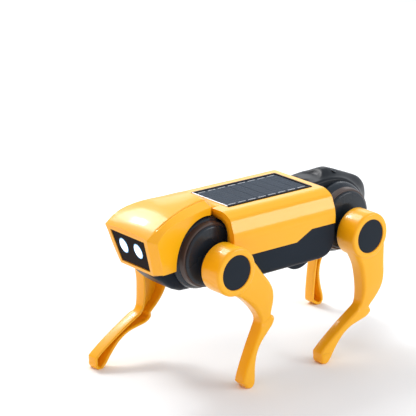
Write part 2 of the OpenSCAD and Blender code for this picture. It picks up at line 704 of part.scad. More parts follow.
translate([0, middle_shift, 0]) {
  belly_shell();
  back_shell();
  panel_board();
  solar_cells();
  cell_busbars();
  panel_resin();
  head_shell();
  visor();
  eye_lenses();
  eye_board();
  eye_lamps();
  neck_cover();
  rear_cowl();
  housing(1, -hip_y);  // left_front_housing
  housing(-1, -hip_y);  // right_front_housing
  housing(1, hip_y);  // left_rear_housing
  housing(-1, hip_y);  // right_rear_housing
  disc(1, -hip_y);  // left_front_disc
  disc(-1, -hip_y);  // right_front_disc
  disc(1, hip_y);  // left_rear_disc
  disc(-1, hip_y);  // right_rear_disc
  left_plate();
  right_plate();
  plate_posts();
  gear_pins();
  axle_bushes();
  hip_studs();
  hip_screws();
  shell_screws();
  panel_wires();
  motor_can();
  motor_end_cap();
  motor_shaft();
  motor_pinion();
  reduction_gear();
  drive_gear();
  idler(1);  // front_idler
  idler(2);  // middle_idler
  idler(4);  // rear_idler
  axle(-hip_y);  // front_axle
  axle_gear(0);  // front_axle_gear
  crank(1, -hip_y, front_turn);  // left_front_crank
  crank(-1, -hip_y, front_turn + 180);  // right_front_crank
  axle(hip_y);  // rear_axle
  axle_gear(5);  // rear_axle_gear
  crank(1, hip_y, rear_turn);  // left_rear_crank
  crank(-1, hip_y, rear_turn + 180);  // right_rear_crank
  leg(1, -hip_y, angle_lf);  // left_front_leg
  leg(-1, -hip_y, angle_rf);  // right_front_leg
  leg(1, hip_y, angle_lr);  // left_rear_leg
  leg(-1, hip_y, angle_rr);  // right_rear_leg
  lever(1, -hip_y, angle_lf);  // left_front_lever
  lever(-1, -hip_y, angle_rf);  // right_front_lever
  lever(1, hip_y, angle_lr);  // left_rear_lever
  lever(-1, hip_y, angle_rr);  // right_rear_lever
  cap(1, -hip_y);  // left_front_cap
  cap(-1, -hip_y);  // right_front_cap
  cap(1, hip_y);  // left_rear_cap
  cap(-1, hip_y);  // right_rear_cap
}
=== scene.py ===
# %% [markdown]
# # A solar robot kit
# A four-legged walking robot is moulded in glossy yellow and black plastic, with a small solar panel
# let into its back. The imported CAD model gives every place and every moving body. This script builds
# the finished surfaces of the parts that show, and gives each CAD part that stays a finish of its own.

import json

import bmesh
import bpy
import numpy as np
from mathutils import Matrix, Vector


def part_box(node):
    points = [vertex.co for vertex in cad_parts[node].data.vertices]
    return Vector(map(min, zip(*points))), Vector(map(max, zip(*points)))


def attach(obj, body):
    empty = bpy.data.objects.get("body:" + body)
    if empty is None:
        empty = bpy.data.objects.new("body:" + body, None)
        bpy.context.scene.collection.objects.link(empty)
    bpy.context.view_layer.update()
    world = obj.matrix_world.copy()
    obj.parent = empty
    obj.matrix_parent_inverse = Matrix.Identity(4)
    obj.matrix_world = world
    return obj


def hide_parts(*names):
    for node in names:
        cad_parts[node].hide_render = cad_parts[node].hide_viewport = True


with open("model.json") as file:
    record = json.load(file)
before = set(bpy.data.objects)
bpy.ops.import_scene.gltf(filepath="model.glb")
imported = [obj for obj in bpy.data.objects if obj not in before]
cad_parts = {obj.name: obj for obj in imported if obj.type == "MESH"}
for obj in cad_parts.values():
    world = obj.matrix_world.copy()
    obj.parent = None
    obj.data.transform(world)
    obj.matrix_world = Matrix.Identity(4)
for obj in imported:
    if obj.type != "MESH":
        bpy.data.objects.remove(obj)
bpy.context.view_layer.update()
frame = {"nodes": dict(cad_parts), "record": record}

# %% [markdown]
# The robot's own parts are easiest to describe in millimetres from the point midway between the two
# pairs of hips, as the maker's drawing does. One small function moves such points into the frame.

# %% Places taken from the CAD
MM = 0.001


def node_box(name):
    """Lowest and highest corner of a CAD node, in millimetres."""
    low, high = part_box(name)
    return np.array(low) / MM, np.array(high) / MM


front_low, front_high = node_box("left_front_cap")
rear_low, rear_high = node_box("left_rear_cap")
HIP_Z = (front_low[2] + front_high[2]) / 2
HIP_SPAN = (rear_low[1] + rear_high[1] - front_low[1] - front_high[1]) / 2
MIDDLE = (rear_low[1] + rear_high[1] + front_low[1] + front_high[1]) / 4
DISC_Z = HIP_Z + 4.0
HIPS = {"front": -HIP_SPAN / 2, "rear": HIP_SPAN / 2}
SIDES = {"left": 1, "right": -1}
print("hips", round(HIP_SPAN, 2), "mm apart, at", round(HIP_Z, 2), "mm, middle at", round(MIDDLE, 2))


def in_frame(points):
    """Millimetres from the middle between the hips, turned into metres in the frame."""
    return (np.asarray(points, float).reshape(-1, 3) + [0, MIDDLE, 0]) * MM


# %% [markdown]
# A small object looks calm from about a metre away through a long lens. The camera looks straight
# along its own axis and is aimed a little to the side of the robot, so the robot sits low and to the
# right of the middle of the view without any lens shift.

# %% Camera
AZIMUTH, ELEVATION, ROLL = np.radians([48.478, 18.074, 1.702])
DISTANCE, LENS = 1003.2, 170.166
# how far the robot's origin lies to the right of the lens's axis, and above it
ASIDE, ABOVE = 22.57, -73.21
level = np.array([np.cos(AZIMUTH), np.sin(AZIMUTH), 0])
back = np.array([np.sin(AZIMUTH) * np.cos(ELEVATION), -np.cos(AZIMUTH) * np.cos(ELEVATION),
                 np.sin(ELEVATION)])
rise = np.cross(back, level)
right = np.cos(ROLL) * level + np.sin(ROLL) * rise
up = -np.sin(ROLL) * level + np.cos(ROLL) * rise
eye = back * DISTANCE - right * ASIDE - up * ABOVE
camera_data = bpy.data.cameras.new("camera")
camera_data.sensor_width = 36.0
camera_data.lens = LENS
camera_data.clip_start, camera_data.clip_end = 0.05, 20
camera = bpy.data.objects.new("camera", camera_data)
bpy.context.scene.collection.objects.link(camera)
turned = np.array([right, up, back]).T
camera.matrix_world = Matrix([[*row, p] for row, p in zip(turned, in_frame(eye)[0])] + [[0, 0, 0, 1]])
bpy.context.scene.camera = camera
bpy.context.scene.view_settings.view_transform = "Standard"
print("camera lens", round(camera_data.lens, 1), "mm at", np.round(in_frame(eye)[0], 3))

# %% [markdown]
# Light for glossy plastic is mostly a matter of what the plastic reflects. A bright soft world lights
# everything evenly, and a few large panels give the pale bands on the shoulders and the hot spots.

# %% Light
scene = bpy.context.scene
world = bpy.data.worlds.new("studio")
scene.world = world
world.use_nodes = True
nodes, link = world.node_tree.nodes, world.node_tree.links.new
way = nodes.new("ShaderNodeTexCoord")
split = nodes.new("ShaderNodeSeparateXYZ")
link(way.outputs["Generated"], split.inputs["Vector"])


def smooth_range(value, start, end):
    """A smooth rise from 0 where the value is at the start to 1 where it is at the end."""
    step = nodes.new("ShaderNodeMapRange")
    step.interpolation_type = "SMOOTHSTEP"
    step.inputs["From Min"].default_value, step.inputs["From Max"].default_value = start, end
    link(value, step.inputs["Value"])
    return step.outputs["Result"]


# the light is warm and dimmer low down in front of the robot, and white everywhere else
both = nodes.new("ShaderNodeMath")
both.operation = "MULTIPLY"
link(smooth_range(split.outputs["Y"], 0.1, -0.8), both.inputs[0])
link(smooth_range(split.outputs["Z"], 0.75, 0.1), both.inputs[1])
sky_colour = nodes.new("ShaderNodeMix")
sky_colour.data_type = "RGBA"
sky_colour.inputs["A"].default_value = (0.92, 0.95, 1.0, 1)
sky_colour.inputs["B"].default_value = (1.25, 0.42, 0.12, 1)
link(both.outputs["Value"], sky_colour.inputs["Factor"])
link(sky_colour.outputs["Result"], nodes["Background"].inputs["Color"])
nodes["Background"].inputs["Strength"].default_value = 0.84


def light_panel(name, place, size, power, aim=(0, 0, 60)):
    """A rectangular lamp at a place in millimetres, turned to face the aim point."""
    data = bpy.data.lights.new(name, "AREA")
    data.shape = "RECTANGLE"
    data.size, data.size_y = size[0] * MM, size[1] * MM
    data.energy = power
    lamp = bpy.data.objects.new(name, data)
    scene.collection.objects.link(lamp)
    lamp.location = in_frame(place)[0]
    towards = Vector(in_frame(aim)[0] - in_frame(place)[0])
    lamp.rotation_euler = towards.to_track_quat("-Z", "Y").to_euler()
    print(name, "at", place, "with", power, "watts")


light_panel("key_from_above", (-630, 60, 730), (420, 380), 3.8)
light_panel("hot_spot", (-560, -40, 640), (130, 100), 1.2)
light_panel("band_panel", (640, 560, 380), (420, 240), 2.2)
light_panel("back_panel", (-560, 560, 420), (420, 260), 0.5)

# %% [markdown]
# Every new surface is a grid of points worked out as one array. These helpers turn grids into faces,
# join several grids into one shell, and make it a piece that rides on its CAD body.

# %% Grids into meshes
def grid_faces(rows, columns, close_rows=False, close_columns=False, start=0):
    """Four-cornered faces between neighbouring points of a grid, wrapped round where it is closed."""
    r = np.arange(rows if close_rows else rows - 1)
    c = np.arange(columns if close_columns else columns - 1)
    r, c = np.meshgrid(r, c, indexing="ij")
    r1, c1 = (r + 1) % rows, (c + 1) % columns
    quads = np.stack([r * columns + c, r1 * columns + c, r1 * columns + c1, r * columns + c1], -1)
    return (quads.reshape(-1, 4) + start).tolist()


class Shell:
    """Collects grids and caps, in millimetres from the middle between the hips."""

    def __init__(self):
        self.points, self.faces, self.count = [], [], 0

    def grid(self, grid, close_rows=False, close_columns=False):
        """Adds a grid of points with a face between every four neighbours."""
        rows, columns = grid.shape[:2]
        self.faces += grid_faces(rows, columns, close_rows, close_columns, self.count)
        self.points.append(grid.reshape(-1, 3))
        self.count += rows * columns
        return self

    def cap(self, ring):
        """Adds one face with many corners, to close the end of a tube."""
        self.points.append(ring)
        self.faces.append(list(range(self.count, self.count + len(ring))))
        self.count += len(ring)
        return self

    def piece(self, name, body, slot, material, replaced=(), bevel=0.0, wall=0.0, smooth=35.0,
              even=False):
        """Makes the object. Points that coincide are merged and faces turned outwards, a wall grows
        inwards, edges turned by more than the smooth angle get a bevel or stay sharp, and the piece
        rides on its body."""
        mesh = bpy.data.meshes.new(name)
        mesh.from_pydata(in_frame(np.concatenate(self.points)).tolist(), [], self.faces)
        work = bmesh.new()
        work.from_mesh(mesh)
        bmesh.ops.remove_doubles(work, verts=work.verts, dist=2e-6)
        bmesh.ops.dissolve_degenerate(work, edges=work.edges, dist=2e-6)
        bmesh.ops.recalc_face_normals(work, faces=work.faces)
        work.to_mesh(mesh)
        work.free()
        mesh.polygons.foreach_set("use_smooth", np.ones(len(mesh.polygons), bool))
        piece = bpy.data.objects.new(name, mesh)
        scene.collection.objects.link(piece)
        if wall:
            solid = piece.modifiers.new("wall", "SOLIDIFY")
            solid.thickness, solid.offset = wall * MM, -1
            solid.use_even_offset, solid.use_quality_normals = even, True
        if bevel:
            edge = piece.modifiers.new("soft edges", "BEVEL")
            edge.width, edge.segments, edge.use_clamp_overlap = bevel * MM, 2, True
            edge.limit_method, edge.angle_limit = "ANGLE", np.radians(smooth)
            piece.modifiers.new("even shading", "WEIGHTED_NORMAL").keep_sharp = True
        else:
            mesh.set_sharp_from_angle(angle=np.radians(smooth))
        mesh.materials.append(material)
        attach(piece, body)
        if replaced:
            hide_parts(*replaced)
        print(name, len(mesh.polygons), "faces")


# %% [markdown]
# Each material is a small tree of nodes. Two groups are shared: one makes the roughness and the fine
# ripple of moulded plastic, and the other lets the colour drift between two neighbours. A painted
# image would need unwrapping; a formula of the position fits every piece at once.

# %% Shared node groups
def node_group(name, inputs, outputs):
    """An empty group with its named input values and outputs."""
    group = bpy.data.node_groups.new(name, "ShaderNodeTree")
    for label, kind, value in inputs:
        socket = group.interface.new_socket(label, in_out="INPUT", socket_type=kind)
        socket.default_value = value
    for label, kind in outputs:
        group.interface.new_socket(label, in_out="OUTPUT", socket_type=kind)
    return group, group.nodes.new("NodeGroupInput"), group.nodes.new("NodeGroupOutput")


def noise(group, scale, detail, scale_from=None):
    """Soft clouds that depend on the position on the object."""
    where, cloud = group.nodes.new("ShaderNodeTexCoord"), group.nodes.new("ShaderNodeTexNoise")
    group.links.new(where.outputs["Object"], cloud.inputs["Vector"])
    cloud.inputs["Detail"].default_value, cloud.inputs["Scale"].default_value = detail, scale
    if scale_from:
        group.links.new(scale_from, cloud.inputs["Scale"])
    return cloud.outputs["Fac"]


def moulded_skin():
    """Moulded plastic is never quite even: a broad soft change of roughness, and a very fine
    ripple in the surface that bends reflections a little."""
    group, given, out = node_group(
        "moulded_skin",
        [("Gloss", "NodeSocketFloat", 0.2), ("Unevenness", "NodeSocketFloat", 0.06),
         ("Ripple", "NodeSocketFloat", 0.1), ("Size", "NodeSocketFloat", 90.0)],
        [("Roughness", "NodeSocketFloat"), ("Normal", "NodeSocketVector")])
    link = group.links.new
    spread = group.nodes.new("ShaderNodeMath")
    spread.operation = "MULTIPLY_ADD"
    link(noise(group, 90, 3, given.outputs["Size"]), spread.inputs[0])
    link(given.outputs["Unevenness"], spread.inputs[1])
    link(given.outputs["Gloss"], spread.inputs[2])
    link(spread.outputs["Value"], out.inputs["Roughness"])
    bump = group.nodes.new("ShaderNodeBump")
    bump.inputs["Distance"].default_value = 0.00002
    link(given.outputs["Ripple"], bump.inputs["Strength"])
    link(noise(group, 1400, 2), bump.inputs["Height"])
    link(bump.outputs["Normal"], out.inputs["Normal"])
    return group


def tint_drift():
    """Pigment is never mixed perfectly: the colour drifts a little between two neighbours."""
    group, given, out = node_group(
        "tint_drift",
        [("Colour", "NodeSocketColor", (1, 1, 1, 1)), ("Other colour", "NodeSocketColor", (1, 1, 1, 1))],
        [("Colour", "NodeSocketColor")])
    link = group.links.new
    mix = group.nodes.new("ShaderNodeMix")
    mix.data_type = "RGBA"
    link(noise(group, 40, 2), mix.inputs["Factor"])
    link(given.outputs["Colour"], mix.inputs["A"])
    link(given.outputs["Other colour"], mix.inputs["B"])
    link(mix.outputs["Result"], out.inputs["Colour"])
    return group


SKIN, DRIFT = moulded_skin(), tint_drift()

# %% [markdown]
# Every finish is the same recipe with other numbers: two close colours, how rough, how clear a coat,
# how metallic and how mirror-like. The blacks are slightly blue or brown. The belly's stronger blue is
# partly its own slate black and partly painted reflection, standing in for the navy sheen along its side.

# %% Finishes
def plastic(name, colour, other, gloss=0.2, uneven=0.06, ripple=0.1, coat=0.0, metal=0.0, size=90.0,
            specular=0.5, glow=0.0):
    """A moulded or metal finish: two close colours, and the skin's roughness and ripple."""
    made = bpy.data.materials.new(name)
    made.use_nodes = True
    nodes, link = made.node_tree.nodes, made.node_tree.links.new
    shader = nodes["Principled BSDF"]
    skin, drift = nodes.new("ShaderNodeGroup"), nodes.new("ShaderNodeGroup")
    skin.node_tree, drift.node_tree = SKIN, DRIFT
    for label, value in (("Gloss", gloss), ("Unevenness", uneven), ("Ripple", ripple), ("Size", size)):
        skin.inputs[label].default_value = value
    drift.inputs["Colour"].default_value = (*colour, 1)
    drift.inputs["Other colour"].default_value = (*other, 1)
    link(drift.outputs["Colour"], shader.inputs["Base Color"])
    link(skin.outputs["Roughness"], shader.inputs["Roughness"])
    link(skin.outputs["Normal"], shader.inputs["Normal"])
    for label, value in (("Coat Weight", coat), ("Coat Roughness", 0.08), ("Metallic", metal),
                         ("Specular IOR Level", specular)):
        shader.inputs[label].default_value = value
    # a glow: for the lamp its own light, for the eyes and their rims painted glow
    if glow:
        shader.inputs["Emission Color"].default_value = (*colour, 1)
        shader.inputs["Emission Strength"].default_value = glow
    return made


YELLOW = plastic("yellow_plastic", (0.95, 0.46, 0.004), (0.97, 0.49, 0.007),
                 gloss=0.28, coat=0.3, specular=0.3)
BLACK = plastic("black_plastic", (0.012, 0.019, 0.028), (0.015, 0.023, 0.033),
                gloss=0.24, coat=0.1, specular=0.3)
BROWN = plastic("brown_black_plastic", (0.058, 0.040, 0.034), (0.070, 0.048, 0.040),
                gloss=0.3, coat=0.1, specular=0.35)
CAP = plastic("cap_plastic", (0.009, 0.016, 0.025), (0.012, 0.019, 0.029), gloss=0.42, specular=0.12)
# the belly's black is bluer than its own slate black: painted reflection, the navy sheen along its side
BELLY = plastic("belly_black_and_painted_sheen", (0.006, 0.012, 0.021), (0.010, 0.018, 0.030), gloss=0.34, specular=0.12)
COWL = plastic("cowl_plastic", (0.007, 0.010, 0.014), (0.010, 0.014, 0.019), gloss=0.3, specular=0.15)
VISOR = plastic("visor_plastic", (0.007, 0.003, 0.0025), (0.010, 0.004, 0.0035),
                gloss=0.34, specular=0.03)
BOARD_EDGE = plastic("board_black", (0.006, 0.006, 0.009), (0.009, 0.009, 0.012),
                     gloss=0.4, specular=0.12)
WHITE = plastic("white_plastic", (0.78, 0.77, 0.72), (0.84, 0.83, 0.79), gloss=0.45)
STEEL = plastic("steel", (0.55, 0.56, 0.58), (0.65, 0.66, 0.68), gloss=0.25, metal=1.0, size=600)
BRASS = plastic("brass", (0.72, 0.48, 0.18), (0.80, 0.56, 0.24), gloss=0.28, metal=1.0, size=600)
CELL = plastic("solar_cell", (0.009, 0.019, 0.034), (0.014, 0.026, 0.045),
               gloss=0.4, specular=0.06, size=500)
SILVER = plastic("silver_line", (0.78, 0.80, 0.84), (0.66, 0.68, 0.72), gloss=0.3, metal=0.9, size=2000)
BOARD = plastic("circuit_board", (0.02, 0.11, 0.04), (0.03, 0.14, 0.06), gloss=0.4)
WIRE = plastic("wire", (0.45, 0.02, 0.02), (0.5, 0.03, 0.03), gloss=0.4)
# the eyes' white is their own colour; their emission is painted glow
EYE = plastic("eye_lens", (0.95, 0.98, 1.0), (1, 1, 1), gloss=0.2, glow=1.2)
# the rims' pale blue is their own colour; their emission is painted glow
RIM = plastic("eye_rim", (0.20, 0.48, 0.80), (0.26, 0.55, 0.86), gloss=0.2, glow=0.6)
LAMP = plastic("lamp", (0.9, 0.95, 1.0), (1, 1, 1), gloss=0.3, glow=0.5)
RESIN = plastic("clear_resin", (0.93, 0.95, 0.97), (0.97, 0.98, 1.0), gloss=0.03, uneven=0.02)
RESIN.node_tree.nodes["Principled BSDF"].inputs["Transmission Weight"].default_value = 1.0
FLOOR = plastic("floor_paper", (0.905, 0.94, 0.945), (0.915, 0.95, 0.955),
                gloss=0.85, ripple=0.0, specular=0.1)

# %% [markdown]
# Solar cells carry fine printed lines. They are too thin to model, so the cell's colour has them: a
# line is drawn wherever the position has a small remainder after division by the pitch. Then every
# CAD part that stays gets the finish that its record names.

# %% Cell lines and the CAD parts' finishes
def add_cell_fingers(made, pitch=1.3, width=0.13):
    """Pale lines at a pitch and a width in millimetres, and fainter ones the other way."""
    nodes, link = made.node_tree.nodes, made.node_tree.links.new
    shader = nodes["Principled BSDF"]
    before = shader.inputs["Base Color"].links[0].from_socket
    where, split = nodes.new("ShaderNodeTexCoord"), nodes.new("ShaderNodeSeparateXYZ")
    link(where.outputs["Object"], split.inputs["Vector"])
    for axis, step, tint in (("Y", pitch, (0.085, 0.12, 0.17, 1)), ("X", 2.6, (0.06, 0.09, 0.13, 1))):
        wrap, line, mix = (nodes.new(k) for k in ("ShaderNodeMath", "ShaderNodeMath", "ShaderNodeMix"))
        wrap.operation, line.operation = "WRAP", "LESS_THAN"
        wrap.inputs[1].default_value, wrap.inputs[2].default_value = step * MM, 0.0
        line.inputs[1].default_value = width * MM
        mix.data_type = "RGBA"
        mix.inputs["B"].default_value = tint
        link(split.outputs[axis], wrap.inputs[0])
        link(wrap.outputs["Value"], line.inputs[0])
        link(line.outputs["Value"], mix.inputs["Factor"])
        link(before, mix.inputs["A"])
        before = mix.outputs["Result"]
    link(before, shader.inputs["Base Color"])


add_cell_fingers(CELL)
FINISHES = {"yellow_plastic": YELLOW, "black_plastic": BLACK, "brown_black_plastic": BROWN,
            "white_plastic": WHITE, "solar_cell": CELL, "silver_busbar": SILVER, "clear_resin": RESIN,
            "white_lens": EYE, "lamp": LAMP, "circuit_board": BOARD, "wire": WIRE, "brass": BRASS,
            "steel": STEEL}
for part in frame["record"]["subparts"]:
    mesh = frame["nodes"][part["node"]].data
    mesh.materials.clear()
    mesh.materials.append(CAP if part["node"].endswith("_cap") else FINISHES[part["material_slot"]])

# %% [markdown]
# Most shapes here start as a few points of an outline. These helpers draw a smooth curve through the
# points, find which way is inwards, round the corners of a profile and turn it round an axis.

# %% Outline tools
def smooth_closed(points, steps):
    """Catmull-Rom curve through a closed ring of points: each stretch is a cubic whose slope at a
    point runs along the line between that point's two neighbours."""
    p = np.asarray(points, float)
    a, b, c, d = (np.roll(p, k, 0)[:, None] for k in (1, 0, -1, -2))
    t = np.linspace(0, 1, steps, endpoint=False)[None, :, None]
    curve = 0.5 * (2 * b + (c - a) * t + (2 * a - 5 * b + 4 * c - d) * t**2
                   + (3 * b - a - 3 * c + d) * t**3)
    return curve.reshape(-1, p.shape[1])


def inward(ring):
    """Unit normals that point into a closed ring of [y, z] points."""
    tangent = np.roll(ring, -1, 0) - np.roll(ring, 1, 0)
    normal = np.stack([-tangent[:, 1], tangent[:, 0]], 1)
    normal /= np.linalg.norm(normal, axis=1, keepdims=True)
    nxt = np.roll(ring, -1, 0)
    area = np.sum(ring[:, 0] * nxt[:, 1] - nxt[:, 0] * ring[:, 1])
    return normal * np.sign(area)


def smoothstep(value, low, high):
    """0 up to the low value, 1 from the high value on, and a cubic without a kink in between."""
    t = np.clip((value - low) / (high - low), 0, 1)
    return t * t * (3 - 2 * t)


def lathe(across, radius, y, z, side, around=128):
    """Turns a profile of (across, radius) pairs round the robot's crosswise axis at y, z."""
    angle = np.linspace(0, 2 * np.pi, around, endpoint=False)
    across, radius = np.asarray(across, float)[:, None], np.asarray(radius, float)[:, None]
    return np.stack([side * across + 0 * angle, y + radius * np.cos(angle), z + radius * np.sin(angle)],
                    -1)


def rounded_profile(corners, steps=6):
    """Profile through (across, radius, rounding) corners, each rounded by a quadratic curve that
    leaves its corner by the rounding on both sides."""
    c = np.asarray(corners, float)
    line = [c[0, :2]]
    for before, here, after in zip(c[:-2], c[1:-1], c[2:]):
        into, out = before[:2] - here[:2], after[:2] - here[:2]
        r = min(here[2], 0.49 * np.hypot(*into), 0.49 * np.hypot(*out))
        if r <= 0:
            line.append(here[:2])
            continue
        a, b = here[:2] + into / np.hypot(*into) * r, here[:2] + out / np.hypot(*out) * r
        t = np.linspace(0, 1, steps)[:, None]
        line += list((1 - t)**2 * a + 2 * t * (1 - t) * here[:2] + t**2 * b)
    return np.array([*line, c[-1, :2]])


def between(a, b, count):
    """Evenly spaced points on the straight line from a to b."""
    return np.asarray(a) + (np.asarray(b) - np.asarray(a)) * np.linspace(0, 1, count)[:, None]


def even_points(line, count):
    """Points at equal distances along a line of straight pieces."""
    run = np.append(0, np.cumsum(np.hypot(*np.diff(line, axis=0).T)))
    at = np.linspace(0, run[-1], count)
    return np.stack([np.interp(at, run, line[:, k]) for k in (0, 1)], 1)


def mirror(points):
    """The same points on the robot's other side."""
    return points * [-1, 1, 1]


# %% [markdown]
# A leg is one moulding: a curved thigh, a knee with a small lip, a thin shin and a rounded foot, flat
# outside and hollow inside. Its outline is two chains, one down the front and one down the rear, with
# the same number of points, so that the face between them is a grid. A row of insets carries the
# outline in at the open side, over the rim, across the thickness and round the outer edge. Bars or
# tubes would be easier, but would lose the swelling thigh and the knee.

# %% Legs
DRUM_R, DRUM_IN, DRUM_OUT, LEG_IN, LEG_OUT, CAP_R = 12.1, 23.3, 35.7, 27.6, 35.2, 8.8
SOLE_R, SOLE_BACK, SOLE_FLAT, LEG_DROP = 3.2, -2.0, 0.4, 62.8
LEG_ANGLES = {("left", "front"): 13.5, ("right", "front"): -25.5, ("left", "rear"): -22.0,
              ("right", "rear"): 28.0}
THIGH_BACK = [(10.9, 4), (13.8, -2.2), (16.9, -9), (19.6, -14.4), (21.0, -18.8), (21.2, -23),
              (20.2, -28), (18.5, -32.2), (18.1, -33.3), (18.9, -34.3), (19.0, -36.0), (17.2, -38.6),
              (12.6, -41.8), (8.4, -45), (5.2, -49.2), (3.3, -54), (2.2, -58.6)]
SHIN_FRONT = [(-6.3, -60.2), (-3.0, -54.2), (2.8, -45.5), (8.3, -38.0), (10.5, -35), (11.0, -32.8),
              (10.1, -29.4), (8.3, -25.4), (5.2, -20.4), (1.0, -15.4), (-4.8, -11)]


def leg_chains(drop, count=(16, 34, 26, 16)):
    """Back and front edges of a leg from the top of the drum to the sole, hip at the origin, as two
    chains with the same number of points. Both pass the drum, the knee and the ankle at the same
    step, and each stretch is cut into equal lengths. Heights scale with the drop, so that every sole
    meets the ground. Also gives each point's step: 0 drum top, 1 thigh, 2 knee, 3 ankle, 4 sole."""
    scale = np.array([1, drop / LEG_DROP])
    turn = np.radians(np.linspace(-12, -168, 9))
    sole = np.stack([SOLE_BACK + SOLE_R * np.cos(turn), -drop + SOLE_R * np.sin(turn)], 1)
    over = np.radians(np.linspace(232, 22, 12))
    drum = (DRUM_R - 0.15) * np.stack([np.cos(over), np.sin(over)], 1)
    ring = smooth_closed(np.concatenate([
        np.array(THIGH_BACK) * scale, [[SOLE_BACK + SOLE_R + 0.5, -drop + 1.2]], sole,
        [[SOLE_BACK - SOLE_R - 1.0, -drop + 1.2]], np.array(SHIN_FRONT) * scale, drum]), 8)
    nearest = lambda p: int(np.argmin(np.hypot(*(ring - np.array(p) * scale).T)))
    top = np.radians(127)
    top = nearest((DRUM_R * np.cos(top), DRUM_R * np.sin(top) / scale[1]))
    foot = nearest((SOLE_BACK, -(drop + SOLE_R) / scale[1]))
    chains = []
    for way, marks in ((1, (THIGH_BACK[0], THIGH_BACK[8], THIGH_BACK[-1])),
                       (-1, (SHIN_FRONT[-1], SHIN_FRONT[4], SHIN_FRONT[0]))):
        stops = [top, *(nearest(m) for m in marks), foot]
        chain = [ring[top][None]]
        for start, end, cuts in zip(stops[:-1], stops[1:], count):
            stretch = ring[(start + way * np.arange((way * (end - start)) % len(ring) + 1)) % len(ring)]
            chain.append(even_points(stretch, cuts + 1)[1:])
        chains.append(np.concatenate(chain))
    step = np.concatenate([[0], *(k + np.linspace(0, 1, c + 1)[1:] for k, c in enumerate(count))])
    return *chains, step


def turned_about_hip(y, z, angle, hip_y):
    """Local side coordinates turned about the hip axis and moved to the hip."""
    c, s = np.cos(angle), np.sin(angle)
    return hip_y + y * c - z * s, HIP_Z + y * s + z * c


def leg_shell(side, hip_y, degrees):
    """One leg, turned about its hip by an angle in degrees, with the drum at its top."""
    angle = np.radians(degrees)
    drop = (HIP_Z + SOLE_FLAT - SOLE_R + SOLE_BACK * np.sin(angle)) / np.cos(angle)
    back_edge, front_edge, step = leg_chains(drop)
    ring = np.concatenate([back_edge, front_edge[-2:0:-1]])
    step = np.concatenate([step, step[-2:0:-1]])
    normal = inward(ring)
    reach = np.hypot(*ring.T)
    rounding = 2.4 - 1.0 * smoothstep(reach, 14, 40)
    # the thigh dips towards the knee, and the shin starts behind it with a small step out
    dip = smoothstep(step, 1.62, 1.97) * (1 - smoothstep(step, 2.0, 2.05))
    outer = LEG_OUT + 0.1 - 0.4 * smoothstep(reach, 30, 62) - dip
    inner = LEG_IN + 0.6 * smoothstep(reach, 20, 40)
    floor_x = outer - 1.6
    insets = [(1.6, floor_x), (1.5, inner + 0.4), (1.1, inner), (0.4, inner), (0.1, inner + 0.25),
              (0, inner + 0.6)]
    bend = np.linspace(0, np.pi / 2, 7)
    insets += [(rounding * (1 - np.cos(b)), outer - rounding * (1 - np.sin(b))) for b in bend]
    rings = []
    for inset, across in insets:
        moved = ring + normal * (inset * np.ones(len(ring)))[:, None]
        y, z = turned_about_hip(moved[:, 0], moved[:, 1], angle, hip_y)
        rings.append(np.stack([side * (across * np.ones(len(ring))), y, np.maximum(z, 0.0)], 1))
    half = len(back_edge)
    shell = Shell().grid(np.array(rings), close_columns=True)
    for flat in (rings[0], rings[-1]):
        shell.grid(np.stack([flat[:half], np.concatenate([flat[:1], flat[:half - 2:-1]])]))
    profile = rounded_profile([(DRUM_IN, 0, 0), (DRUM_IN, DRUM_R, 0.9), (DRUM_OUT, DRUM_R, 3.1),
                               (DRUM_OUT, CAP_R + 0.12, 0.15), (DRUM_OUT - 1.4, CAP_R + 0.12, 0),
                               (DRUM_OUT - 1.4, 0, 0)])
    return shell.grid(lathe(*profile.T, hip_y, HIP_Z, side), close_columns=True)


for (side_name, end), degrees in LEG_ANGLES.items():
    leg_shell(SIDES[side_name], HIPS[end], degrees).piece(
        f"{side_name}_{end}_leg_moulding", f"{side_name}_{end}_leg_body", "yellow_plastic", YELLOW,
        [f"{side_name}_{end}_leg"], smooth=32)

# %% [markdown]
# Everything round at a hip is turned on a lathe: a profile of radius and distance along the hip's own
# axis, swept round it. The housing and the black disc belong to the frame; the cap and the drum swing
# with the leg.

# %% Hip caps, discs and housings
def lathe_piece(profile, y, z, side, name, body, slot, material, replaced=(), ring=False):
    """A piece turned round the crosswise axis; a ring's profile is closed, with a hole inside it."""
    Shell().grid(lathe(*profile.T, y, z, side), close_columns=True, close_rows=ring).piece(
        name, body, slot, material, replaced)


CAP_PROFILE = rounded_profile([
    (DRUM_OUT - 1.3, 0, 0), (DRUM_OUT - 1.3, CAP_R, 0), (DRUM_OUT - 0.28, CAP_R, 0.3),
    (DRUM_OUT - 0.22, CAP_R * 0.5, 2), (DRUM_OUT - 0.2, 0, 0)])
HOUSING_PROFILE = rounded_profile([
    (8, 13, 0), (8, 16.7, 0.4), (13.2, 16.7, 1.6), (17.3, 15.9, 0.5), (17.3, 14.0, 0.3),
    (16.4, 13.9, 0.2), (8.2, 13, 0)])
# profile of the black ring that stands in for the shaded gap round each housing: painted shade
SHADE_RING_PROFILE = rounded_profile([
    (8.6, 14.2, 0), (8.6, 18.3, 0.6), (12.2, 18.3, 1.6), (14.6, 16.4, 0.6), (14.6, 14.2, 0)])
DISC_PROFILE = rounded_profile([
    (16.5, 4.4, 0), (16.5, 14.8, 0.2), (17.7, 15.1, 0.9), (18.5, 14.3, 0.5), (18.7, 12.6, 1),
    (19.0, 9.6, 0.4), (19.0, 4.4, 0)])
NECK_PROFILE = rounded_profile([
    (12.45, 0, 0), (12.45, 3.9, 0.2), (19.35, 3.9, 0), (19.35, 8.5, 0.5), (23.2, 9.0, 0),
    (23.35, 0, 0)])
HOUSING_HOLE_R, SHADE_RING_HOLE_R, DISC_HOLE_R = 14.05, 14.3, 5
RING_FORWARD = 1.6
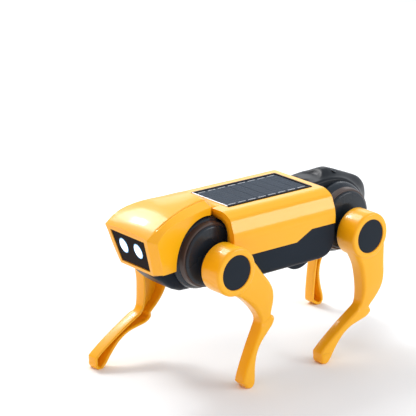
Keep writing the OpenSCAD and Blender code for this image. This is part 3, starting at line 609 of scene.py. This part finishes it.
for side_name, side in SIDES.items():
    for end, hip_y in HIPS.items():
        hip, leg_body = f"{side_name}_{end}", f"{side_name}_{end}_leg_body"
        lathe_piece(CAP_PROFILE, hip_y, HIP_Z, side, f"{hip}_hip_cap", leg_body,
                    "black_plastic", CAP, [f"{hip}_cap"])
        # the fixed rings sit a little higher than the hip, the front pair also a little forward, and
        # only their holes stay on the hip's own axis
        ring_y = hip_y - RING_FORWARD * (end == "front")
        bore_y = np.where(HOUSING_PROFILE[:, 1:] < HOUSING_HOLE_R, hip_y, ring_y)
        lathe_piece(HOUSING_PROFILE, bore_y, DISC_Z, side, f"{hip}_hip_drum", "frame",
                    "brown_black_plastic", BROWN, [f"{hip}_housing"], ring=True)
        # a black ring fills the band between the hood's arch and the housing: painted shade, a dark sheet
        # standing in for the gap's shadow
        bore_y = np.where(SHADE_RING_PROFILE[:, 1:] < SHADE_RING_HOLE_R, hip_y, ring_y)
        lathe_piece(SHADE_RING_PROFILE, bore_y, DISC_Z, side, f"{hip}_hip_shade_ring", "frame",
                    "black_plastic", BLACK, ring=True)
        hole = DISC_PROFILE[:, 1:] < DISC_HOLE_R
        lathe_piece(DISC_PROFILE, np.where(hole, hip_y, ring_y), np.where(hole, HIP_Z, DISC_Z), side,
                    f"{hip}_hip_disc", "frame", "black_plastic", BLACK, [f"{hip}_disc"], ring=True)
        lathe_piece(NECK_PROFILE, hip_y, HIP_Z, side, f"{hip}_hip_neck", leg_body,
                    "black_plastic", BLACK)

# %% [markdown]
# The hood is one thin moulding over the head: a crowned top, a narrow sloping band on each side and
# two tall cheeks, cut out round the front hips. Its long edges are rails, each a curve in one
# parameter from the brow back to the shell, and every ring of the surface joins the rails.

# %% Hood rails
HOOD_REAR, BRIM_REAR = -43.4, -33.4
SHELL_FRONT, SHELL_REAR, SHELL_TOP, SHELL_HALF = -39.5, 28.0, 87.4, 27.0
ARCH_Y, ARCH_R = -47.4, 18.9
HOOD_WALL = 1.4


def hood_rails(u):
    """Crown, crease, cheek and jaw points for u from 0 at the rear to 1 at the brow. The crown and
    the cheek fall by powers of u, and the crease spreads by a smooth step."""
    crown = np.stack([0 * u, HOOD_REAR - 40.9 * u, 92.6 - 2.3 * u - 8.1 * u**4], -1)
    crease = np.stack([8.2 + 7.4 * smoothstep(u, 0, 0.9), HOOD_REAR - 40.9 * u,
                       91.7 - 2.3 * u - 8.1 * u**4], -1)
    cheek = np.stack([13.6 + 5.8 * u, HOOD_REAR - 37.6 * u, 89.5 - 3.2 * u - 6.6 * u**7], -1)
    jaw = np.stack([12.4 + 4.6 * smoothstep(u, 0, 1), HOOD_REAR - 31.6 * u, 62.4 + 0 * u], -1)
    return crown, crease, cheek, jaw


def hood_sections(count):
    """Rail points from the brow back, with seven rings more where the hood closes on the shell."""
    u = 1 - np.linspace(0, 1, count)
    crown, crease, cheek, jaw = hood_rails(u)
    t = np.linspace(0, 1, 8)[1:, None]
    ends = [np.array(e, float) for e in ((0, SHELL_FRONT, 90.9), (6.2, SHELL_FRONT, 90.1),
                                         (10, SHELL_FRONT, 88.2), (10, SHELL_FRONT, 62.4))]
    return [np.concatenate([rail, rail[-1] + (end - rail[-1]) * t])
            for rail, end in zip((crown, crease, cheek, jaw), ends)]


def across_top(crown, crease, count):
    """Points from one crease over the crown to the other: a parabola in the distance across."""
    s = np.linspace(-1, 1, count)[None, :, None]
    s[0, [1, -2], 0] = [-0.955, 0.955]
    x = crease[:, None, :1] * s
    y = crown[:, None, 1:2] + 0 * s
    z = crown[:, None, 2:] + (crease - crown)[:, None, 2:] * s**2
    return np.concatenate([x, y, z], -1)


def cheek_end(cheek, jaw):
    """How far down each cheek line goes before it meets the round arch over the hip, from 0 to 1."""
    y0, z0 = cheek[:, 1] - ARCH_Y, cheek[:, 2] - DISC_Z
    dy, dz = jaw[:, 1] - cheek[:, 1], jaw[:, 2] - cheek[:, 2]
    a, b, c = dy**2 + dz**2, 2 * (y0 * dy + z0 * dz), y0**2 + z0**2 - ARCH_R**2
    root = b**2 - 4 * a * c
    first = (-b - np.sqrt(np.maximum(root, 0))) / (2 * a)
    return np.where((root > 0) & (first > 0), np.minimum(first, 1), 1.0)


# %% [markdown]
# Three grids cover each half of the hood: half the top, the narrow band and the cheek. They are put
# side by side into one wide grid, so that no seam can open between them. The cheek's grid is cut
# short by the round arch over the hip.

# %% Hood surface
crown, crease, cheek, jaw = hood_sections(72)
down = cheek_end(cheek, jaw)
w = np.linspace(0, 1, 22)[None, :, None] * down[:, None, None]
# the cheeks swell a little between their upper and lower edges
swell = 0.35 * np.sin(np.pi * w) * np.array([1, 0, 0])
side_grid = cheek[:, None] * (1 - w) + jaw[:, None] * w + swell
s = np.array([0, 0.12, 0.3, 0.5, 0.75, 1])[None, :, None]
band_grid = crease[:, None] * (1 - s) + cheek[:, None] * s
top_grid = across_top(crown, crease, 29)
# a fine groove runs along the crease
groove = 0.6 * smoothstep(np.arange(len(crease)), 5, 14) * smoothstep(SHELL_FRONT - crease[:, 1], 0, 3)
sunk = crease - groove[:, None] * np.array([0.55, -0.1, 0.83])
top_grid[:, -1], top_grid[:, 0], band_grid[:, 0] = sunk, sunk * [-1, 1, 1], sunk
half = np.concatenate([top_grid[:, 14:], band_grid[:, 1:], side_grid[:, 1:]], 1)
whole = np.concatenate([mirror(half[:, :0:-1]), half], 1)
hood = Shell().grid(whole)

# %% [markdown]
# The face is a flat frame round the visor's window, with a facet at each corner that turns into the
# cheek. It leans back towards the chin. Each side of the frame is a ribbon between two straight lines.

# %% Hood face
FACE_SLOPE, BROW_Z, CHIN_HALF, CHIN_Z = (7.3, 20.0), 81.3, 12.2, 61.2
WINDOW_HIGH, WINDOW_LOW = (12.75, 79.45), (10.75, 62.85)
brow = top_grid[0]


def face_point(x, z):
    """Point of the leaning face plane, which passes through the middle of the brow."""
    return np.array([x, crown[0, 1] + (BROW_Z - z) * FACE_SLOPE[0] / FACE_SLOPE[1], z])


def add_ribbon(shell, a, b, c, d, count):
    """A strip one face wide between the straight line from a to b and the one from c to d."""
    shell.grid(np.stack([between(a, b, count), between(c, d, count)]))


window_high, window_low = face_point(*WINDOW_HIGH), face_point(*WINDOW_LOW)
chin = face_point(CHIN_HALF, CHIN_Z)
hood.grid(np.stack([brow, between(mirror(window_high), window_high, len(brow))]))
for flip in (np.array([1, 1, 1]), np.array([-1, 1, 1])):
    add_ribbon(hood, brow[-1] * flip, chin * flip, window_high * flip, window_low * flip, 12)
    add_ribbon(hood, cheek[0] * flip, side_grid[0, -1] * flip, brow[-1] * flip, chin * flip, 22)
add_ribbon(hood, mirror(chin), chin, mirror(window_low), window_low, 12)
hood.piece("hood", "frame", "yellow_plastic", YELLOW, ["head_shell"],
           wall=HOOD_WALL, bevel=0.35, smooth=14, even=True)

# %% [markdown]
# A low wedge leads from the rear of the hood down to the level of the back. It is a grid whose height
# falls both across and along, with a flat underside on the shell.

# %% Slope from the hood onto the back
brim_t = np.linspace(0, 1, 10)[:, None, None]
x = np.linspace(-1, 1, 25)[None, :, None]
x_half = 9.9 * (1 - brim_t) + 9.0 * brim_t
height = (90.9 - SHELL_TOP) * (1 - 0.9 * x**2 * (0.6 + 0.4 * x**2)) * (1 - brim_t)**1.15
brim_grid = np.concatenate([x * x_half, SHELL_FRONT + (BRIM_REAR - SHELL_FRONT) * brim_t + 0 * x,
                            SHELL_TOP + 0.02 + height + 0 * x], -1)
brim_under = brim_grid * [1, 1, 0] + [0, 0, SHELL_TOP - 0.5]
brim = Shell().grid(brim_grid).grid(brim_under)
for last in (0, -1):
    brim.grid(np.stack([brim_grid[last], brim_under[last]]))
    brim.grid(np.stack([brim_grid[:, last], brim_under[:, last]]))
brim.piece("hood_brim", "frame", "yellow_plastic", YELLOW)

# %% [markdown]
# The back shell is a straight trough of one cross-section, turned over the gearbox: flat on top,
# rounded at the shoulders, with one flat facet on each shoulder that catches the light. Its lower
# edge steps up towards the rear, and the black belly fills the space below.

# %% Back shell
PANEL_HALF, PANEL_FRONT, PANEL_LEN = 14.0, -32.2, 56.0
SEAM_FRONT_Z, SEAM_REAR_Z, SEAM_Y = 66.0, 71.0, (2.0, 12.0)


def seam_height(y):
    """Height of the shell's lower edge: two levels with a straight slope between them."""
    return np.interp(y, SEAM_Y, (SEAM_FRONT_Z, SEAM_REAR_Z))


POCKET_HALF = PANEL_HALF + 0.05
shoulder = rounded_profile([
    (POCKET_HALF, SHELL_TOP, 0), (18.6, SHELL_TOP, 2.6), (23.5, 84.9, 1.5), (26.5, 78.1, 1.2),
    (SHELL_HALF, 75.0, 1.0), (SHELL_HALF, SEAM_REAR_Z, 0)], 7)
ys = np.unique(np.concatenate([np.linspace(SHELL_FRONT, SHELL_REAR, 46), SEAM_Y]))
rows = []
for y in ys:
    # where the edge is as high as the shoulder's end, the last points all but coincide and are merged
    edge_z = min(seam_height(y), SEAM_REAR_Z - 1e-4)
    profile = np.concatenate([shoulder, between([SHELL_HALF, SEAM_REAR_Z], [SHELL_HALF, edge_z], 6)[1:]])
    rows.append(np.stack([profile[:, 0], np.full(len(profile), y), profile[:, 1]], 1))
left_wall = np.array(rows)
shell = Shell().grid(left_wall).grid(mirror(left_wall))
# the top in front of the panel and behind it
for y0, y1 in ((SHELL_FRONT, PANEL_FRONT), (PANEL_FRONT + PANEL_LEN, SHELL_REAR)):
    x = np.linspace(-POCKET_HALF, POCKET_HALF, 12)[None, :, None]
    y = ys[(ys >= y0 - 1e-6) & (ys <= y1 + 1e-6)]
    y = np.unique([y0, *y, y1])[:, None, None]
    shell.grid(np.concatenate([x + 0 * y, y + 0 * x, SHELL_TOP + 0 * x + 0 * y], -1))
shell.piece("back_cover", "frame", "yellow_plastic", YELLOW, ["back_shell"],
            wall=1.6, bevel=0.25, smooth=25, even=True)

# %% [markdown]
# Each end of the shell is closed by a thin wall with an opening for the gearbox. Two lines with the
# same number of points, the shell's section and the edge of the opening, are joined by one grid.

# %% End walls
WALL_INSET, OPENING_HALF, OPENING_TOP, OPENING_ROUND, WALL_POINTS = 0.8, 21.6, 83.2, 8.5, 60


def end_wall(name, y, low):
    """A flat wall between the shell's cross-section and an opening with a rounded upper corner: each
    outer point is paired with the opening's point at the same share of its length."""
    top, side = SHELL_TOP - WALL_INSET, SHELL_HALF - WALL_INSET
    outer = np.concatenate([[[0, top]], between([3, top], [13, top], 8), shoulder - WALL_INSET,
                            between([side, SEAM_REAR_Z - WALL_INSET], [side, low], 6)])
    inner = rounded_profile([(0, OPENING_TOP, 0), (OPENING_HALF, OPENING_TOP, OPENING_ROUND),
                             (OPENING_HALF, low, 0)])
    lines = np.stack([np.insert(even_points(line, WALL_POINTS), 1, y, axis=1) for line in (outer, inner)])
    Shell().grid(lines).grid(mirror(lines)).piece(name, "frame", "yellow_plastic", YELLOW, wall=1.2)


end_wall("front_end_wall", SHELL_FRONT + 0.5, SEAM_FRONT_Z + 0.1)
end_wall("rear_end_wall", SHELL_REAR - 1.6, SEAM_REAR_Z + 0.1)

# %% [markdown]
# Behind the open ends of the shell a thin flat black plate stands on each side of the gearbox, so that the
# openings show dark: painted shade, a dark sheet where the inside of the shell lies in shadow. Each is a
# small grid with a rounded upper corner.

# %% Dark plates in the shell's openings (painted shade)
# dark plates standing in for the shade inside the shell: painted shade
SHADE_PLATE_LOW, SHADE_PLATE_TOP, SHADE_PLATE_HALF = 67, 84.6, 22.0
# the front pair starts further out, clear of the levers that swing beside the gearbox
for name, y, inner_x in (("front_shade_plate", SHELL_FRONT + 1.9, 13.4), ("rear_shade_plate", SHELL_REAR - 3.0, 8.3)):
    for side_name, side in SIDES.items():
        x = np.linspace(inner_x, SHADE_PLATE_HALF, 10)
        top = SHADE_PLATE_TOP - 1.6 * np.clip((x - 16) / 6, 0, 1)**2
        rows = np.linspace(0, 1, 8)[:, None]
        plate = np.stack([side * x + 0 * rows, y + 0 * x + 0 * rows,
                          SHADE_PLATE_LOW + (top - SHADE_PLATE_LOW) * rows], -1)
        Shell().grid(plate).piece(f"{side_name}_{name}", "frame", "black_plastic", BLACK, wall=0.9)

# %% [markdown]
# The belly is a black trough under the gearbox. Each cross-section is a flat side, a rounded lower
# edge and a flat bottom, and the bottom curls up at the rear. A bulge across it makes room for the
# motor: a round bar whose lower part comes through the flat bottom. The grid runs along the body and
# across it, and the bulge is simply the lower of two heights at each point.

# %% Belly
BELLY_HALF, BELLY_BOTTOM, BELLY_ROUND = 26.6, 52.8, 3.2
MOTOR_Y, MOTOR_Z, BULGE_R, BULGE_HALF, BULGE_ROUND = 8.6, 59.6, 10.5, 22.4, 1.2


def belly_floor(y):
    """Height of the flat bottom: level, then up at the rear along a quarter of an ellipse."""
    t = np.clip((y - 19.5) / 8.6, 0, 1)
    return BELLY_BOTTOM + 6.6 * (1 - np.sqrt(1 - 0.985 * t**2.4))


def belly_half_section(y):
    """Points from the seam down the side, round the edge and to the middle of the bottom."""
    low, seam = belly_floor(y), seam_height(y) + 0.15
    side = np.stack([np.full(10, BELLY_HALF), np.linspace(seam, low + BELLY_ROUND, 10)], 1)
    turn = np.linspace(0, np.pi / 2, 9)[1:]
    edge = np.stack([BELLY_HALF - BELLY_ROUND * (1 - np.cos(turn)),
                     low + BELLY_ROUND * (1 - np.sin(turn))], 1)
    x = np.concatenate([np.linspace(BELLY_HALF - BELLY_ROUND, BULGE_HALF, 3)[1:],
                        np.linspace(BULGE_HALF - 0.05, BULGE_HALF - BULGE_ROUND, 6),
                        np.linspace(BULGE_HALF - 1.9, 0, 14)])
    bar = np.sqrt(np.maximum(BULGE_R**2 - (y - MOTOR_Y)**2, 0))
    ease = np.clip((BULGE_HALF - x) / BULGE_ROUND, 0, 1)
    drop = np.maximum(low - (MOTOR_Z - bar), 0) * np.sqrt(1 - (1 - ease)**2)
    return np.concatenate([side, edge, np.stack([x, low - drop], 1)])


belly_y = np.unique(np.concatenate([np.linspace(SHELL_FRONT + 0.1, SHELL_REAR - 0.1, 60), SEAM_Y,
                                    MOTOR_Y + 8.1 * np.linspace(-1, 1, 25)]))
half = np.array([np.insert(belly_half_section(y), 1, y, axis=1) for y in belly_y])
whole = np.concatenate([half, mirror(half[:, -2::-1])], 1)
Shell().grid(whole).piece("belly", "frame", "black_plastic", BELLY, ["belly_shell"],
                          wall=1.5, bevel=0.3)
# an end wall starts just inside the belly's own section and reaches up to a straight edge
for name, y, top in (("belly_front_wall", SHELL_FRONT + 0.3, 63.0),
                     ("belly_rear_wall", SHELL_REAR - 1.7, 65.0)):
    edge_points = belly_half_section(y)[3:] * [0.97, 1] + [0, 0.6]
    edge_points = np.concatenate([edge_points, (edge_points * [-1, 1])[-2::-1]])
    lift = np.stack([edge_points[:, 0] * 0.9, np.full(len(edge_points), top)], 1)
    lift[:, 1] = np.maximum(lift[:, 1], edge_points[:, 1] + 0.05)
    wall_grid = np.stack([np.insert(edge_points, 1, y, axis=1), np.insert(lift, 1, y, axis=1)])
    Shell().grid(wall_grid).piece(name, "frame", "black_plastic", BLACK, wall=1.2)

# %% [markdown]
# Under the chin a narrow black trough joins the head to the body. Its width and depth change slowly
# along the robot, so it is a row of U-shaped sections at interpolated sizes.

# %% Neck
# place along the robot, half width and height of the bottom
NECK = np.array([(-74.0, 5.5, 61.0), (-71.5, 7.6, 58.8), (-68.5, 8.8, 56.4), (-65, 9.2, 53.6),
                 (-61, 9.3, 51.0), (-56.5, 9.1, 49.2), (-51, 8.4, 48.6), (-45, 8.1, 48.6),
                 (-39.7, 8, 49.6), (-34, 8, 51.8)])
NECK_TOP, NECK_ROUND = 61.3, 2.6
stations = np.linspace(NECK[0, 0], NECK[-1, 0], 60)
width, bottom = (np.interp(stations, NECK[:, 0], NECK[:, k])[:, None] for k in (1, 2))
turn = np.linspace(0, np.pi / 2, 8)[None, 1:]
x = np.concatenate([np.repeat(width, 4, 1), width - NECK_ROUND * (1 - np.cos(turn)),
                    (width - NECK_ROUND) * np.linspace(1, 0, 8)[None, 1:]], 1)
z = np.concatenate([NECK_TOP + (bottom + NECK_ROUND - NECK_TOP) * np.array([[0, 0.3, 0.7, 1]]),
                    bottom + NECK_ROUND * (1 - np.sin(turn)), np.repeat(bottom, 7, 1)], 1)
half = np.stack([x, stations[:, None] + 0 * x, np.minimum(z, NECK_TOP)], -1)
Shell().grid(np.concatenate([half, mirror(half[:, -2::-1])], 1)).piece(
    "neck_trough", "frame", "black_plastic", BELLY, ["neck_cover"], wall=1.2, bevel=0.2, smooth=40)

# %% [markdown]
# The rear cowl is a raised cover over the rear end of the gearbox. It is a side outline carried
# across the robot with well-rounded long edges, made the way the legs are: a row of insets from one
# flat side over to the other.

# %% Rear cowl
COWL_SPINE = [(28.3, 62), (28.3, 76), (28.3, 86.2), (29.6, 87.2), (37.6, 87.4), (39.4, 88.2), (41.4, 89.9),
              (44.2, 90.4), (47.2, 90.0), (55.6, 87.0), (63.4, 84.0), (68.0, 82.0), (71.3, 79.4), (73.6, 76),
              (74.6, 71.5), (74.4, 66.5)]
COWL_EDGE = [(28.3, 62), (28.3, 76), (28.3, 85.6), (29.8, 86.6), (37.5, 87.3), (42.7, 87.2), (47.9, 86.5),
             (53.2, 84.8), (58.2, 81.9), (61.6, 79.0), (64.2, 75.8), (65.8, 71.5), (66.2, 66.5)]
COWL_LOW_SPINE = [(28.3, 62), (30, 58.6), (36, 57), (45, 56.2), (55, 55.7), (62, 56), (66.5, 57), (70, 59),
                  (72.6, 61.8), (74.4, 66.5)]
COWL_LOW_EDGE = [(28.3, 62), (30, 58.6), (36, 57), (45, 56.3), (52, 56.1), (58, 56.9), (61.5, 58.2),
                 (64, 60.2), (65.6, 62.8), (66.2, 66.5)]
COWL_HALF, COWL_ROUND, COWL_POINTS = 9.35, 1.5, 90


def open_curve(points, count):
    """Points at equal steps along a smooth line through the given ones, whose ends are doubled first,
    so that the closed-curve formula doesn't bend them back to the start."""
    p = [points[0], *points, points[-1]]
    return even_points(smooth_closed(p, 8)[8:8 * (len(p) - 2) + 1], count)


def cowl_ring(share):
    """Side outline between the spine's (share 0) and the shoulder's (share 1), point by point."""
    upper, lower = ((1 - share) * open_curve(spine, COWL_POINTS) + share * open_curve(edge, COWL_POINTS)
                    for spine, edge in ((COWL_SPINE, COWL_EDGE), (COWL_LOW_SPINE, COWL_LOW_EDGE)))
    return np.concatenate([upper, lower[-2:0:-1]])


flat_part = np.linspace(0, COWL_HALF - COWL_ROUND, 12)[:-1]
bend = np.linspace(0, np.pi / 2, 6)
rings = []
for across, inset in zip(np.append(flat_part, COWL_HALF - COWL_ROUND * (1 - np.sin(bend))),
                         np.append(0 * flat_part, COWL_ROUND * (1 - np.cos(bend)))):
    ring = cowl_ring(smoothstep(across, 0.8, 8.9))
    rings.append(np.insert(ring + inward(ring) * inset, 0, across, axis=1))
rings = np.array([mirror(r) for r in rings[:0:-1]] + rings)
cowl = Shell().grid(rings, close_columns=True)
for flat in (rings[0], rings[-1]):
    cowl.grid(np.stack([flat[:COWL_POINTS], np.concatenate([flat[:1], flat[:COWL_POINTS - 2:-1]])]))
cowl.piece("tail_cowl", "frame", "black_plastic", COWL, ["rear_cowl"], wall=1.0)

# %% [markdown]
# Two small round dimples with raised rims lie on the cowl's front slopes, where moulding pins stood.
# Each is a few rings of growing size, tilted to follow the slope.

# %% Cowl buttons
BUTTON_X, BUTTON_Y, BUTTON_Z, SLOPE_ALONG, SLOPE_ACROSS = 3.6, 48.5, 88.62, 0.31, 0.26
spread = np.array([0.2, 0.75, 0.95, 1.2, 1.45])[:, None]
raised = np.array([0.05, 0.12, 0.3, 0.26, -0.2])[:, None]
angle = np.linspace(0, 2 * np.pi, 40, endpoint=False)
for side_name, side in SIDES.items():
    across, along = spread * np.cos(angle), spread * np.sin(angle)
    button = np.stack([side * BUTTON_X + across, BUTTON_Y + along,
                       BUTTON_Z + raised - SLOPE_ALONG * along - side * SLOPE_ACROSS * across], -1)
    Shell().grid(button, close_columns=True).cap(button[0]).piece(
        f"cowl_button_{side_name}", "frame", "black_plastic", BLACK, wall=0.2)

# %% [markdown]
# The visor is one dark glossy plate set into the face, with two oval white eyes. Their glow is painted glow:
# they are white lenses, not lamps, and an emission in their finish makes them shine. Each eye is a shallow
# dome on the plate, with a thin pale blue rim round it, which has a fainter painted glow.

# %% Visor and eyes
LEAN = np.arctan2(*FACE_SLOPE)
EYE_X, EYE_UP, EYE_RX, EYE_RZ = 5.4, 71.9, 2.75, 3.85
FACE_Y, FACE_Z, VISOR_LOW, VISOR_HIGH, VISOR_LOW_HALF, VISOR_HIGH_HALF = -84.3, 81, 62.0, 80.0, 10.62, 12.66


def on_face(x, height, depth):
    """Point of the face plane: across, up along the slope, and depth behind it."""
    up = height - FACE_Z
    return np.stack(np.broadcast_arrays(x, FACE_Y + depth * np.cos(LEAN) - up * np.sin(LEAN),
                                        FACE_Z + up * np.cos(LEAN) + depth * np.sin(LEAN)), -1)


upwards, across = np.meshgrid(np.linspace(0, 1, 24), np.linspace(-1, 1, 30), indexing="ij")
half_width = VISOR_LOW_HALF + (VISOR_HIGH_HALF - VISOR_LOW_HALF) * upwards
plate = on_face(across * half_width, VISOR_LOW + (VISOR_HIGH - VISOR_LOW) * upwards, 0.35)
Shell().grid(plate).piece("visor_plate", "frame", "brown_black_plastic", VISOR, ["visor"],
                          wall=1.2, bevel=0.2)


def eye_ring(x0, ratio, depth, around=72):
    """Ovals round an eye's centre, one for each share of its size and depth behind the face."""
    angle = np.linspace(0, 2 * np.pi, around, endpoint=False)[None]
    ratio, depth = np.asarray(ratio, float)[:, None], np.asarray(depth, float)[:, None]
    return on_face(x0 + ratio * EYE_RX * np.cos(angle), EYE_UP + ratio * EYE_RZ * np.sin(angle), depth)


eyes, rims = Shell(), Shell()
for x0 in (EYE_X, -EYE_X):
    ratio = np.array([0.02, 0.3, 0.55, 0.75, 0.88, 0.94, 0.94])
    dome = eye_ring(x0, ratio, np.append(0.02 + 0.28 * ratio[:-1]**2, 0.8))
    eyes.grid(dome, close_columns=True).cap(dome[0]).cap(dome[-1])
    rim = eye_ring(x0, [0.93, 0.94, 1.03, 1.09, 1.09], [0.8, 0.22, 0.2, 0.33, 0.8])
    rims.grid(rim, close_columns=True, close_rows=True)
eyes.piece("eyes", "frame", "white_lens", EYE, ["eye_lenses"])
rims.piece("eye_rims", "frame", "white_lens", RIM)

# %% [markdown]
# The solar panel lies in a shallow pocket on the back. Its black board has a raised rim, the cells
# are eight dark blue strips with thin gaps, and two dashed silver lines run along the long sides.
# The board is a row of rectangular loops, each a little further in or at another height.

# %% Panel board
PANEL_Z = SHELL_TOP - 1.2


def panel_loop(edge, z, corner=0.5, turn_points=5):
    """Rounded rectangle at a distance inside the panel's outline, as a closed ring of points."""
    x1, y0, y1 = PANEL_HALF - edge, PANEL_FRONT + edge, PANEL_FRONT + PANEL_LEN - edge
    r = max(corner - edge * 0.2, 0.1)
    ring = []
    for cx, cy, start in ((x1 - r, y1 - r, 0), (r - x1, y1 - r, 90), (r - x1, y0 + r, 180),
                          (x1 - r, y0 + r, 270)):
        a = np.radians(np.linspace(start, start + 90, turn_points))
        ring.append(np.stack([cx + r * np.cos(a), cy + r * np.sin(a), np.full(turn_points, z)], 1))
    return np.concatenate(ring)


loops = np.array([panel_loop(*p) for p in (
    (0.12, PANEL_Z), (0.12, SHELL_TOP + 0.28), (0.3, SHELL_TOP + 0.42), (1.25, SHELL_TOP + 0.42),
    (1.45, SHELL_TOP - 0.12), (3, SHELL_TOP - 0.12))])
Shell().grid(loops, close_columns=True).cap(loops[0]).cap(loops[-1]).piece(
    "panel_frame", "frame", "black_plastic", BOARD_EDGE, ["panel_board", "panel_resin"])
# a pale silver strip along the board's front edge: partly the board's bare edge, and partly a painted
# highlight that stands in for the bright line along it
edge_y = PANEL_FRONT - 0.25
section = np.array([[edge_y, 0.02], [edge_y + 0.1, 0.36], [edge_y + 0.45, 0.46], [edge_y + 0.45, 0.02]])
strip = np.array([np.insert(section + [0, SHELL_TOP], 0, x, axis=1)
                  for x in np.linspace(-PANEL_HALF + 1, PANEL_HALF - 1, 30)])
Shell().grid(strip, close_columns=True).cap(strip[0]).cap(strip[-1]).piece(
    "panel_edge_and_highlight_strip", "frame", "silver_busbar", SILVER)

# %% [markdown]
# The cells are one grid whose lines fall low at the gaps and high on the strips. Each dash is a thin
# raised strip of its own, beside the middle of a cell.

# %% Cells and dashes
CELL_Z, CELL_RISE, CELL_ROWS, CELL_EDGE = SHELL_TOP - 0.02, 0.06, 8, 1.6
DASH_FROM_EDGE, DASH_HALF, DASH_RISE = 2.75, 0.28, 0.09
pitch = (PANEL_LEN - 2 * CELL_EDGE) / CELL_ROWS
cell_start = PANEL_FRONT + CELL_EDGE + pitch * np.arange(CELL_ROWS)
lines = np.array([0.0, 0.1, 0.16, *np.linspace(0.3, pitch - 0.3, 4), pitch - 0.16, pitch - 0.1])
y = (cell_start[:, None] + lines).ravel()
raised = np.tile([0, 0, 1, 1, 1, 1, 1, 1, 0], CELL_ROWS)
x = np.linspace(-PANEL_HALF + CELL_EDGE, PANEL_HALF - CELL_EDGE, 20)[:, None]
cells = np.stack([x + 0 * y, y + 0 * x, CELL_Z + CELL_RISE * raised + 0 * x], -1)
Shell().grid(cells).piece("panel_cells", "frame", "solar_cell", CELL, ["solar_cells"], wall=0.15)
bars = Shell()
for x0 in (PANEL_HALF - DASH_FROM_EDGE, DASH_FROM_EDGE - PANEL_HALF):
    for start in cell_start:
        y = start + np.array([0.55, 0.65, pitch - 1.35, pitch - 1.25])
        height = DASH_RISE * np.array([0, 1, 1, 0])
        half_dash = DASH_HALF - 0.06 * (height > 0)
        bars.grid(np.stack([np.stack([x0 + w * half_dash, y, CELL_Z + 0.05 + height], 1) for w in (-1, 1)]))
bars.piece("panel_dashes", "frame", "silver_busbar", SILVER, ["cell_busbars"], wall=0.05)

# %% [markdown]
# The floor is one large pale sheet of matt paper under the soles.

# %% Floor
FLOOR_HALF, FLOOR_CELLS = 1500, 12
line = np.linspace(-FLOOR_HALF, FLOOR_HALF, FLOOR_CELLS + 1)
x, y = np.meshgrid(line, line, indexing="ij")
floor = np.stack([x, y, 0 * x], -1)
floor_mesh = bpy.data.meshes.new("floor")
floor_mesh.from_pydata(in_frame(floor).tolist(), [], grid_faces(*floor.shape[:2]))
floor_mesh.materials.append(FLOOR)
floor_piece = bpy.data.objects.new("floor", floor_mesh)
scene.collection.objects.link(floor_piece)
